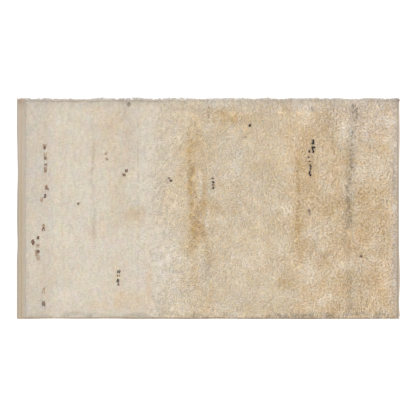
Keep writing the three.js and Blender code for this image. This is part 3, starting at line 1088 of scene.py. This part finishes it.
def strands(name, path, radius, colours, sides=3, roll=0.0, body=0.8):
    """Joins many tapering locks into one mesh: path has each lock's points from root to tip, radius its
    thickness at all of them but the tip, colours its yarn at every point, roll turns it about its run,
    from one with a ridge on top, and body says how full it stands."""
    count, stops = path.shape[:2]
    rings = stops - 1
    ahead = np.gradient(path, axis=1)
    ahead /= np.linalg.norm(ahead, axis=2, keepdims=True) + 1e-9
    aside = np.cross(ahead, (0, 0, 1)) + np.array((1e-6, 0, 0))
    aside /= np.linalg.norm(aside, axis=2, keepdims=True)
    above = np.cross(aside, ahead)
    turns = math.pi / 2 + 2 * math.pi * np.arange(sides) / sides
    rolled = np.broadcast_to(roll, count)[:, None, None]
    turned = turns + YARN_TWIST * np.linspace(0, 1, rings)[:, None] + rolled
    rim = STRAND_WIDE * aside[:, :-1, None] * np.cos(turned)[..., None]
    full = np.broadcast_to(body, count)[:, None, None, None]
    rim = rim + full * above[:, :-1, None] * np.sin(turned)[..., None]
    ring = path[:, :-1, None] + rim * radius[..., None, None]
    places = np.concatenate([ring.reshape(count, -1, 3), path[:, -1:]], axis=1)
    tip = rings * sides
    faces = []
    for k in range(rings - 1):
        for a in range(sides):
            b = (a + 1) % sides
            faces.append((k * sides + a, k * sides + b, (k + 1) * sides + b, (k + 1) * sides + a))
    last = (rings - 1) * sides
    faces += [(last + a, last + (a + 1) % sides, tip) for a in range(sides)]
    faces.append(tuple(range(sides))[::-1])
    corners = np.array([corner for face in faces for corner in face])
    sizes = np.array([len(face) for face in faces])
    every = np.arange(count)[:, None]
    loops = (corners + every * (tip + 1)).ravel()
    starts = (np.cumsum(sizes) - sizes + every * len(corners)).ravel()
    mesh = bpy.data.meshes.new(name)
    mesh.vertices.add(count * (tip + 1))
    mesh.vertices.foreach_set("co", places.ravel())
    mesh.loops.add(len(loops))
    mesh.loops.foreach_set("vertex_index", loops)
    mesh.polygons.add(len(starts))
    mesh.polygons.foreach_set("loop_start", starts)
    mesh.polygons.foreach_set("use_smooth", [True] * len(starts))
    mesh.update(calc_edges=True)
    run = np.linalg.norm(np.diff(path, axis=1), axis=2).cumsum(axis=1)
    run = np.concatenate([np.zeros((count, 1)), run], axis=1) / YARN_SCALE
    phase = np.broadcast_to(turns, (rings, sides))
    fibre = np.zeros((count, tip + 1, 3), np.float32)
    fibre[:, :tip, 0] = np.cos(phase).ravel()
    fibre[:, :tip, 1] = np.sin(phase).ravel()
    fibre[:, :tip, 2] = np.repeat(run[:, :-1], sides, axis=1)
    fibre[:, tip, 2] = run[:, -1]
    fibre[:, :, 2] += every * YARN_SHIFT
    mesh.attributes.new("strand", "FLOAT_VECTOR", "POINT").data.foreach_set("vector", fibre.ravel())
    ring_colours = np.repeat(colours[:, :-1], sides, axis=1)
    painted = np.clip(np.concatenate([ring_colours, colours[:, -1:]], axis=1), 0, LIGHTEST)
    paint(mesh, painted.reshape(-1, 3))
    return mesh


def steps_along(start, steps):
    """Each lock's points along one axis: where it starts and where its steps take it."""
    return start[:, None] + np.pad(np.cumsum(steps, axis=1), ((0, 0), (1, 0)))


HELD_BACK = 0.85
FAR_OVERHANG = 0.0095
FAR_LOBES = ((0.0040, 0.042, 71), (0.002, 0.017, 72))


def held_within(value, limit, side):
    """Keeps the part of a lock that passes a limit close to it."""
    past = np.maximum((value - limit) * side, 0)
    return value - side * past * HELD_BACK


def far_reach(x):
    """How far the locks reach over the far side, in lobes."""
    return far_side + FAR_OVERHANG + clouds(x, x * 0, *FAR_LOBES)


def shaped(key, loose):
    """A row of numbers for every lock, between a tuft's and a long lock's as the pile is worn."""
    worn = np.interp(STOPS, TUFT["stops"], TUFT[key])
    return worn + (np.array(LOCK[key]) - worn) * loose[:, None]


# Where the knots are: how far their rows stray, how far they keep from the edges, and from which looseness
# on and how fast they have locks. A pair of numbers is again what a value is, and what it gains.
ROWS_STRAY = 0.35
KNOTS_FROM = {"near": 0.007, "far": 0.003, "end": 0.002}
LOCKS_FROM = 0.24
LOCKS_GAIN = 2.8
KNOTS_STRAY = {"x": (0.0008, 0.0020), "y": (0.0018, 0.0008)}
ROWS_WANDER = (0.003, 0.14, 63)


def knots_of(band, chance):
    """Where the knots with locks are in one stretch of the rug's length, and how loose the pile is there."""
    rows = np.arange(band["from"], band["to"], band["rows"])
    rows = rows + band["rows"] * chance.uniform(-ROWS_STRAY, ROWS_STRAY, len(rows))
    across = np.arange(near_side + KNOTS_FROM["near"], far_side - KNOTS_FROM["far"], band["knots"])
    x, y = (grid.ravel() for grid in np.meshgrid(rows, across, indexing="ij"))
    inside = x > low.x + WORN_END["band"] + KNOTS_FROM["end"]
    inside &= x < high.x - DEEP_END["band"] - KNOTS_FROM["end"]
    inside &= chance.uniform(0, 1, len(x)) < LOCKS_GAIN * (looseness(x, y) - LOCKS_FROM)
    x, y = x[inside], y[inside]
    loose = looseness(x, y)
    stray = chance.normal(0, grown(KNOTS_STRAY["x"], loose), len(x))
    x = x + stray + clouds(x, y, ROWS_WANDER)
    return x, y + chance.normal(0, grown(KNOTS_STRAY["y"], loose), len(x)), loose


# How the locks lie: how they stray from their neighbours, less where they hang over the far side, how far
# they reach and bend, and where they are held back at the edges
LEAN_FROM = 0.009
LEAN = (0.35, 0.15)
OVERHANG = {"within": 0.03, "over": 0.025, "straighter": 0.6}
REACH = (0.0075, 0.0095)
REACH_DEEP = {"more": 0.003, "from": 0.1, "over": 0.8}
REACH_VARIES = (0.7, 1.4)
BEND = (0.5, 0.5)
BEND_ABOUT = 0.4
BEND_AT = (0.8, 0.6)
HELD_AT = {"near": 0.002, "deep_hem": 0.002, "worn_band": -0.006}


def lock_runs(x, y, loose, chance):
    """Where every point of the locks lies, seen from above."""
    count = len(x)
    strayed_x = x + chance.normal(0, LEAN_FROM, count)
    strayed_y = y + chance.normal(0, LEAN_FROM, count)
    overhang = ease((OVERHANG["within"] + y - far_side) / OVERHANG["over"])
    lean = chance.normal(0, grown(LEAN, loose), count) * (1 - OVERHANG["straighter"] * overhang)
    deep = ease((x - REACH_DEEP["from"]) / REACH_DEEP["over"])
    reach = (grown(REACH, loose) + REACH_DEEP["more"] * deep) * chance.uniform(*REACH_VARIES, count)
    bend = chance.normal(0, grown(BEND, loose), count)[:, None]
    turn = (heading(strayed_x, strayed_y) + lean)[:, None]
    way = turn + bend * (STOPS[:-1] + STEPS / 2 - BEND_ABOUT) * grown(BEND_AT, STOPS[:-1])
    run_x = steps_along(x, np.cos(way) * STEPS * reach[:, None])
    run_y = steps_along(y, np.sin(way) * STEPS * reach[:, None])
    run_y = held_within(run_y, far_reach(run_x), 1)
    run_y = held_within(run_y, near_side + HELD_AT["near"], -1)
    run_x = held_within(run_x, high.x - DEEP_END["hem"] - HELD_AT["deep_hem"], 1)
    return held_within(run_x, low.x + WORN_END["band"] + HELD_AT["worn_band"], -1), run_y


# How the locks are layered over each other, how thick they are, and how low they may lie, as shares of
# their thickness and of the weave's
TOUSLED_SHARE = (0.25, 0.75)
LAYERS = (0.02, 0.36)
LAYERS_LIFT = 0.04
DROOP = 0.0016
THICK_VARIES = (0.8, 1.2)
MIDDLE_THINNER = 0.12
LYING = {"lowest": 0.6, "sunk": 0.4, "on_weave": 0.8}
# The yarn's colour from lock to lock and from root to tip, how the roots are darkened, partly yellower root
# wool in golden yarn and partly painted shade deep in the pile, and how the locks roll and how full they
# stand
SHADE_VARIES = (0.02, 0.01)
WARMTH_VARIES = 0.045
WARMER = (0.4, 0, -1.2)
FLECKS = (0.3, 0.75)
FLECKS_MOST = 2.3
GOLDEN_RATIO = {"from": 0.70, "over": 0.3}
ROOT_SHADE = (0.13, 0.18, 0.26)
ROOT_UNTIL = 0.8
ROOT_DEPTH = {"loose": (0.2, 0.8), "tousled": (0.42, 0.46), "golden": (0.7, 2.4)}
TIP_BLEACHED = (0.03, 0.03, 0.035)
# How much lighter half-worn locks are painted, against the shade on their own sides
HALF_WORN_LOCK_LIGHT = 0.06
NAP_TINT = (0.05, 0.025, -0.035)
RIDGE_TURN = {"from": 0.35, "over": 0.45}
ROLL = (0.10, 0.45)
BODY = (0.12, 0.63)


def pile(band, seed):
    """The locks of one stretch of the rug's length."""
    chance = np.random.default_rng(seed)
    x, y, loose = knots_of(band, chance)
    count = len(x)
    run_x, run_y = lock_runs(x, y, loose, chance)
    tousled = grown(TOUSLED_SHARE, roughness(x))
    layer = 1 - chance.uniform(0, 1, count) * grown(LAYERS, loose * tousled) + LAYERS_LIFT * loose
    top = coat(run_x, run_y)
    upright = WEAVE + (top - WEAVE) * shaped("rise", loose) * layer[:, None]
    droop = chance.normal(0, DROOP, count)[:, None] * STOPS * loose[:, None]
    thick = TUFT["thick"] + (LOCK["thick"] - TUFT["thick"]) * loose
    thick = thick * chance.uniform(*THICK_VARIES, count)
    thick = (thick * (1 - MIDDLE_THINNER * loose * (1 - roughness(x))))[:, None]
    lowest = LYING["lowest"] * thick
    least = np.where(top > 0, WEAVE * LYING["on_weave"], lowest)
    path = np.stack([run_x, run_y, np.maximum(upright + droop - LYING["sunk"] * lowest, least)], axis=-1)
    radius = thick * shaped("thickness", loose)[:, :-1]
    shade = 1 + chance.normal(0, grown(SHADE_VARIES, loose), count)
    warmth = 1 + chance.normal(0, WARMTH_VARIES, count)[:, None] * np.array(WARMER)
    flecks = np.minimum(chance.exponential(1.0, count), FLECKS_MOST)
    yarn = wool_at(run_x[:, -2], run_y[:, -2], grown(FLECKS, flecks)) * shade[:, None] * warmth
    golden = np.clip((GOLDEN_RATIO["from"] - yarn[:, 2] / yarn[:, 0]) / GOLDEN_RATIO["over"], 0, 1)
    depth = grown(ROOT_DEPTH["loose"], loose) * grown(ROOT_DEPTH["tousled"], tousled)
    depth = depth * grown(ROOT_DEPTH["golden"], golden)
    # Painted shade at the roots, deeper where the pile is loose and tousled, strongest in golden yarn whose
    # roots are yellower
    shaded_roots = (ease(1 - STOPS / ROOT_UNTIL) * depth[:, None])[..., None] * np.array(ROOT_SHADE)
    bleached = 1 + STOPS[:, None] * np.array(TIP_BLEACHED) * loose[:, None, None]
    # Painted light: half-worn locks lighter, against the shade on their sides
    lighter = 1 + HALF_WORN_LOCK_LIGHT * half_worn(loose)[:, None, None]
    napped = 1 + (1 - loose[:, None, None]) * np.array(NAP_TINT)
    colours = yarn[:, None] * (1 - shaded_roots) * bleached * lighter * napped
    ridge = math.pi / 3 * ease((loose - RIDGE_TURN["from"]) / RIDGE_TURN["over"])
    roll = ridge + chance.normal(0, grown(ROLL, loose), count)
    return strands(band["name"], path, radius, colours, roll=roll, body=grown(BODY, loose))


# Thin loose locks that hang over the far side. A pair is the least and the most, or the start and the end,
# but for their shade, which is what it is in loose pile and how much lighter in worn pile. Their shade is
# painted light and shade: lighter over worn pile, against the shade where they fall away from the light,
# darker over the deep end, and a little lighter towards the tip.
FAR_LOCKS = {
    "apart": 0.0017,
    "from_ends": 0.005,
    "stray": 0.0015,
    "shaded_roots": (0.001, 0.011),
    "lie": (0.8, 0.012, 73),
    "turned": 0.45,
    "bent": 1.8,
    "bent_about": 0.6,
    "reach_more": 0.0002,
    "reach_varies": 0.0028,
    "least_outward": 0.6,
    "root_height": 0.8,
    "over_cord": 0.001,
    "falls": (0.3, 0.9),
    "tip_height": (0.0012, 0.0050),
    "thick": 0.0011,
    "thick_varies": (0.7, 1.3),
    "thickness": (0.8, 1.0, 1.0, 0.85),
    "shade_varies": 0.06,
    "shade": (0.94, 0.30),
    "past_band": 0.004,
    "band_edge": 0.01,
    "deep_from": 0.45,
    "deep_over": 0.15,
    "deep_darker": 0.12,
    "tip_lighter": 0.1,
}


def edge_locks(name, seed):
    """Thin loose locks that hang over the far selvedge."""
    chance = np.random.default_rng(seed)
    inset = FAR_LOCKS["from_ends"]
    x = np.arange(low.x + inset, high.x - inset, FAR_LOCKS["apart"])
    count = len(x)
    x = x + chance.normal(0, FAR_LOCKS["stray"], count)
    y = far_side - chance.uniform(*FAR_LOCKS["shaded_roots"], count)
    way = math.pi / 2 + clouds(x, x * 0, FAR_LOCKS["lie"]) + chance.normal(0, FAR_LOCKS["turned"], count)
    bend = chance.normal(0, FAR_LOCKS["bent"], count)[:, None] * (STOPS[1:] - FAR_LOCKS["bent_about"])
    way = way[:, None] + bend
    reach = far_reach(x) + chance.normal(FAR_LOCKS["reach_more"], FAR_LOCKS["reach_varies"], count) - y
    outward = np.maximum(np.sum(np.sin(way) * STEPS, axis=1), FAR_LOCKS["least_outward"])
    steps = (reach / outward)[:, None] * STEPS
    root = np.maximum(coat(x, y) * FAR_LOCKS["root_height"], CORD_HEIGHT + FAR_LOCKS["over_cord"])[:, None]
    starts, lands = FAR_LOCKS["falls"]
    tip = chance.uniform(*FAR_LOCKS["tip_height"], count)[:, None]
    height = root + FAR_LOCKS["over_cord"] - (root - tip) * ease((STOPS - starts) / (lands - starts))
    run_x = steps_along(x, np.cos(way) * steps)
    run_y = steps_along(y, np.sin(way) * steps)
    path = np.stack([run_x, run_y, height], axis=-1)
    thick = FAR_LOCKS["thick"] * chance.uniform(*FAR_LOCKS["thick_varies"], count)[:, None]
    yarn = wool_at(x, y) * (1 + chance.normal(0, FAR_LOCKS["shade_varies"], count))[:, None]
    worn_band = low.x + WORN_END["band"] + FAR_LOCKS["past_band"] - x
    deep_band = x - high.x + DEEP_END["band"]
    at_band = ease(worn_band / FAR_LOCKS["band_edge"]) + ease(deep_band / FAR_LOCKS["band_edge"])
    # Locks over the end bands take the painted shade of the fold at the ends
    yarn = yarn + (linear(SHADES["pink_fold_shade"]) * BAND_SHADING - yarn) * at_band[:, None]
    # Painted light and shade on the hanging locks: lighter over worn pile, darker over the deep end, lighter
    # towards the tip
    deep = ease((x - FAR_LOCKS["deep_from"]) / FAR_LOCKS["deep_over"])
    shaded = grown(FAR_LOCKS["shade"], 1 - looseness(x, y)) * (1 - FAR_LOCKS["deep_darker"] * deep)
    colours = yarn[:, None] * (shaded[:, None] + FAR_LOCKS["tip_lighter"] * STOPS)[..., None]
    return strands(name, path, thick * np.array(FAR_LOCKS["thickness"]), colours)


SPUN = (2.6, 2.6, 0.35)


def strand_material(name, streaks, relief):
    """Loosely spun wool: the fibres run along each lock and turn round it, by the mesh's strand layer."""
    material = wool_material(name, SPUN, streaks, relief)
    tree = material.node_tree
    feed(tree.nodes["spread"], {"Vector": mesh_layer(tree, "strand")["Vector"]})
    return material


lock_wool = strand_material("lock_wool", streaks=0.20, relief=0.0025)
pile_pieces = [
    piece_of(pile(band, 100 + number), lock_wool)
    for number, band in enumerate(LOCK_BANDS)
]
far_side_locks = piece_of(edge_locks("far_side_locks", 120), lock_wool)

# Single fibres have worked loose from the locks and stand out over them: fine wool hairs, held in the pile
# by the knots that they were spun into. There are none where the pile is worn.
FIBRES = 11000
FIBRE_REACH = 0.013
FIBRE_VARIES = (0.6, 1.4)
FIBRE_THICK = 0.00036
FIBRE_TURNED = 0.9
FIBRE_INSET = {"ends": 0.01, "near": 0.012, "far": 0.008}
FIBRE_ROOT = (0.80, 0.97)
FIBRE_TIP = (0.95, 1.12)
FIBRE_LIFT = 0.0006
FIBRE_LIGHTER = 1.05


def stray_fibres(name, seed):
    """Fine straight hairs strewn over the pile, fewer where it is worn."""
    chance = np.random.default_rng(seed)
    first = low.x + WORN_END["band"] + FIBRE_INSET["ends"]
    last = high.x - DEEP_END["band"] - FIBRE_INSET["ends"]
    x = chance.uniform(first, last, FIBRES)
    y = chance.uniform(near_side + FIBRE_INSET["near"], far_side - FIBRE_INSET["far"], FIBRES)
    kept = chance.uniform(0, 1, FIBRES) < looseness(x, y)
    x, y = x[kept], y[kept]
    count = len(x)
    way = heading(x, y) + chance.normal(0, FIBRE_TURNED, count)
    reach = FIBRE_REACH * chance.uniform(*FIBRE_VARIES, count)
    end_x, end_y = x + np.cos(way) * reach, y + np.sin(way) * reach
    start_z = coat(x, y) * chance.uniform(*FIBRE_ROOT, count)
    end_z = coat(end_x, end_y) * chance.uniform(*FIBRE_TIP, count) + FIBRE_LIFT
    starts, ends = np.stack([x, y, start_z], axis=-1), np.stack([end_x, end_y, end_z], axis=-1)
    colours = np.repeat((wool_at(x, y) * FIBRE_LIGHTER)[:, None], 2, axis=1)
    return strands(name, np.stack([starts, ends], axis=1), np.full((count, 1), FIBRE_THICK), colours)


loose_fibres = piece_of(stray_fibres("stray_fibres", 130), lock_wool)

# The hems are sewn down by hand with plain wool thread, in slanting stitches all along the inner side of
# each, over the edge of the turned-under cloth.
STITCH_PITCH = 0.013
STITCH_REACH = 0.007
STITCH_THICK = 0.0007
STITCH_SHADE = (172, 148, 112)
STITCH_INSET = 0.012
STITCH_STRAY = {"along": 0.0012, "across": 0.0006}
STITCH_SLANT = (0.8, 0.15)
STITCH_ARCH = 1.6


def stitches(name, seam_x, seed):
    """A row of slanting stitches across the inner edge of a hem."""
    chance = np.random.default_rng(seed)
    y = np.arange(near_side + STITCH_INSET, far_side - STITCH_INSET, STITCH_PITCH)
    y = y + chance.normal(0, STITCH_STRAY["along"], len(y))
    stops = np.linspace(0, 1, 5)
    run = (stops - 0.5) * STITCH_REACH
    path_x = seam_x + run + chance.normal(0, STITCH_STRAY["across"], len(y))[:, None]
    path_y = y[:, None] + run * chance.normal(*STITCH_SLANT, len(y))[:, None]
    inward = (seam_x - path_x) * (1 if seam_x > 0 else -1)
    path_z = WEAVE + (HEM - WEAVE) * ease(0.5 - inward / HEM_STEP)
    path_z = path_z + STITCH_THICK * STITCH_ARCH * np.sin(math.pi * stops)
    path = np.stack([path_x, path_y, path_z], axis=-1)
    radius = np.full((len(y), len(stops) - 1), STITCH_THICK)
    colours = np.broadcast_to(linear(STITCH_SHADE), path.shape)
    return strands(name, path, radius, colours, sides=4)


worn_stitches = piece_of(stitches("worn_hem_stitches", low.x + WORN_END["hem"], 7), lock_wool)
deep_stitches = piece_of(stitches("deep_hem_stitches", high.x - DEEP_END["hem"], 8), lock_wool)

# Here and there a knot was tied with dark brown, black or grey wool. Such locks lie on top of their
# neighbours, alone or in a short file along the row.
DARK_WOOLS = {
    "brown": {"shade": (118, 88, 72), "reach": 0.0150, "thick": 0.0013, "locks": 8, "spread": 0.0036},
    "black": {"shade": (42, 36, 36), "reach": 0.0125, "thick": 0.0015, "locks": 8, "spread": 0.0034},
    "faded": {"shade": (174, 147, 119), "reach": 0.0140, "thick": 0.0014, "locks": 5, "spread": 0.0032},
    "grey": {"shade": (154, 144, 130), "reach": 0.0130, "thick": 0.0016, "locks": 3, "spread": 0.0034},
}
# The columns are the wool, the x and y of the file's middle, its number of knots, how long it runs across
# the rug and how wide its knots are strewn along it
DARK_KNOTS = [
    ("faded", -0.902, 0.344, 2, 0.012, 0.002),
    ("faded", -0.898, 0.292, 2, 0.015, 0.002),
    ("faded", -0.899, 0.207, 3, 0.028, 0.002),
    ("faded", -0.918, 0.041, 2, 0.016, 0.001),
    ("faded", -0.946, -0.248, 3, 0.030, 0.003),
    ("faded", -0.940, -0.209, 2, 0.014, 0.002),
    ("faded", -0.563, 0.300, 2, 0.010, 0.002),
    ("brown", -0.902, 0.333, 2, 0.013, 0.000),
    ("brown", -0.898, 0.275, 2, 0.011, 0.000),
    ("faded", -0.898, 0.300, 1, 0.000, 0.000),
    ("faded", -0.897, 0.223, 3, 0.044, 0.002),
    ("brown", -0.897, 0.240, 1, 0.000, 0.000),
    ("brown", -0.896, 0.207, 1, 0.000, 0.000),
    ("faded", -0.891, 0.116, 3, 0.022, 0.005),
    ("brown", -0.890, 0.109, 2, 0.017, 0.005),
    ("black", -0.898, 0.073, 1, 0.000, 0.000),
    ("brown", -0.900, 0.060, 1, 0.000, 0.000),
    ("faded", -0.917, 0.050, 2, 0.022, 0.000),
    ("faded", -0.908, -0.097, 2, 0.020, 0.000),
    ("brown", -0.910, -0.114, 2, 0.017, 0.002),
    ("brown", -0.938, -0.163, 2, 0.014, 0.002),
    ("brown", -0.967, -0.188, 4, 0.025, 0.009),
    ("brown", -0.937, -0.240, 2, 0.019, 0.001),
    ("faded", -0.938, -0.273, 3, 0.033, 0.003),
    ("brown", -0.908, -0.526, 3, 0.027, 0.003),
    ("faded", -0.908, -0.457, 2, 0.033, 0.003),
    ("brown", -0.717, 0.022, 1, 0.000, 0.000),
    ("faded", -0.559, 0.270, 2, 0.014, 0.003),
    ("brown", -0.452, 0.205, 2, 0.012, 0.003),
    ("brown", -0.465, 0.182, 2, 0.009, 0.002),
    ("grey", -0.437, 0.574, 4, 0.025, 0.002),
    ("black", -0.493, -0.351, 2, 0.019, 0.003),
    ("black", -0.498, -0.401, 2, 0.017, 0.003),
    ("brown", -0.495, -0.421, 1, 0.000, 0.000),
    ("brown", -0.496, -0.374, 1, 0.000, 0.000),
    ("brown", -0.214, 0.162, 1, 0.000, 0.000),
    ("black", -0.206, 0.149, 1, 0.000, 0.000),
    ("brown", 0.026, 0.160, 1, 0.000, 0.000),
    ("black", 0.028, 0.141, 1, 0.000, 0.000),
    ("brown", 0.027, 0.126, 1, 0.000, 0.000),
    ("black", 0.028, 0.110, 1, 0.000, 0.000),
    ("faded", 0.001, 0.528, 5, 0.077, 0.003),
    ("black", 0.229, 0.453, 2, 0.014, 0.004),
    ("faded", 0.203, 0.391, 1, 0.000, 0.000),
    ("grey", 0.570, 0.545, 3, 0.027, 0.002),
    ("black", 0.577, 0.362, 3, 0.026, 0.006),
    ("black", 0.574, 0.329, 2, 0.017, 0.002),
    ("black", 0.584, 0.334, 1, 0.000, 0.000),
    ("black", 0.581, 0.309, 2, 0.007, 0.009),
    ("black", 0.555, 0.309, 1, 0.000, 0.000),
    ("black", 0.551, 0.276, 1, 0.000, 0.000),
    ("black", 0.557, 0.254, 1, 0.000, 0.000),
    ("black", 0.561, 0.225, 3, 0.030, 0.006),
    ("black", 0.560, 0.189, 3, 0.025, 0.005),
    ("grey", 0.556, -0.022, 3, 0.033, 0.002),
    ("brown", 0.555, -0.014, 1, 0.000, 0.000),
    ("brown", 0.842, -0.267, 2, 0.008, 0.001),
    ("grey", 0.807, 0.528, 12, 0.093, 0.027),
    ("grey", 0.780, 0.319, 9, 0.220, 0.027),
    ("grey", 0.774, 0.044, 12, 0.247, 0.027),
    ("faded", 0.493, 0.099, 8, 0.330, 0.017),
    ("faded", -0.068, -0.038, 10, 0.275, 0.038),
]
# How a dark knot's locks lie in loose pile and where it is worn, where a knot's two ends lie apart along
# the rug. A pair of numbers is the least and the most.
KNOT_ENDS_APART = 0.0100
KNOT_ENDS_VARY = (0.5, 1.15)
FILE_STRAY = 0.0006
KNOT_TURNED = {"loose": 0.5, "worn": 0.2}
DARK_SPREAD = {"loose": 0.5, "worn": 0.25}
DARK_TURNED = {"loose": 0.3, "worn": 0.2}
DARK_BENT = 0.9
DARK_REACH_VARIES = (0.7, 1.2)
DARK_LIFT = (-0.0030, 0.0006, 0.0018, 0.0014, -0.0004)
DARK_LIFT_VARIES = 0.0004
DARK_THICK_VARIES = (0.8, 1.2)
DARK_SHADE_VARIES = (0.85, 1.3)


def dark_locks(name, seed):
    """All the dark locks, in small bundles that lie over the pile where their knots are."""
    chance = np.random.default_rng(seed)
    places, wools, leans = [], [], []

    def fades(values, worn):
        """A value between loose and worn pile."""
        return values["loose"] - (values["loose"] - values["worn"]) * worn

    for shade, file_x, file_y, knots, run, wide in DARK_KNOTS:
        wool = DARK_WOOLS[shade]
        for k in range(knots):
            x = file_x + wide * chance.uniform(-0.5, 0.5)
            y = file_y + run * ((k + 0.5) / knots - 0.5) + chance.normal(0, FILE_STRAY)
            worn = 1 - float(looseness(np.array(x), np.array(y)))
            lean = chance.normal(0, fades(KNOT_TURNED, worn)) + worn * math.pi / 2
            split = KNOT_ENDS_APART * worn * chance.uniform(*KNOT_ENDS_VARY)
            for lock in range(wool["locks"]):
                apart = split * (lock % 2 - 0.5)
                spread = wool["spread"] * fades(DARK_SPREAD, worn)
                places.append(np.array((x + apart, y)) + chance.normal(0, spread, 2))
                wools.append(wool)
                leans.append(lean + chance.normal(0, fades(DARK_TURNED, worn)))
    places = np.array(places)
    count = len(places)
    way = (heading(places[:, 0], places[:, 1]) + leans)[:, None]
    way = way + chance.normal(0, DARK_BENT, count)[:, None] * (STOPS - 0.5)
    reach = np.array([wool["reach"] for wool in wools])[:, None]
    reach = reach * chance.uniform(*DARK_REACH_VARIES, (count, 1))
    path_x = places[:, :1] + np.cos(way) * (STOPS - 0.5) * reach
    path_y = places[:, 1:] + np.sin(way) * (STOPS - 0.5) * reach
    path_z = coat(path_x, path_y) + DARK_LIFT + chance.normal(0, DARK_LIFT_VARIES, (count, 1))
    path = np.stack([path_x, path_y, path_z], axis=-1)
    thick = np.array([wool["thick"] for wool in wools])[:, None]
    thick = thick * chance.uniform(*DARK_THICK_VARIES, (count, 1))
    shades = np.array([linear(wool["shade"]) for wool in wools])[:, None]
    colours = shades * chance.uniform(*DARK_SHADE_VARIES, (count, 1, 1)) * np.ones((1, len(STOPS), 1))
    return strands(name, path, thick * np.array(LOCK["thickness"][:-1]), colours, roll=math.pi / 3)


dark_knots = piece_of(dark_locks("dark_knots", 9), lock_wool)
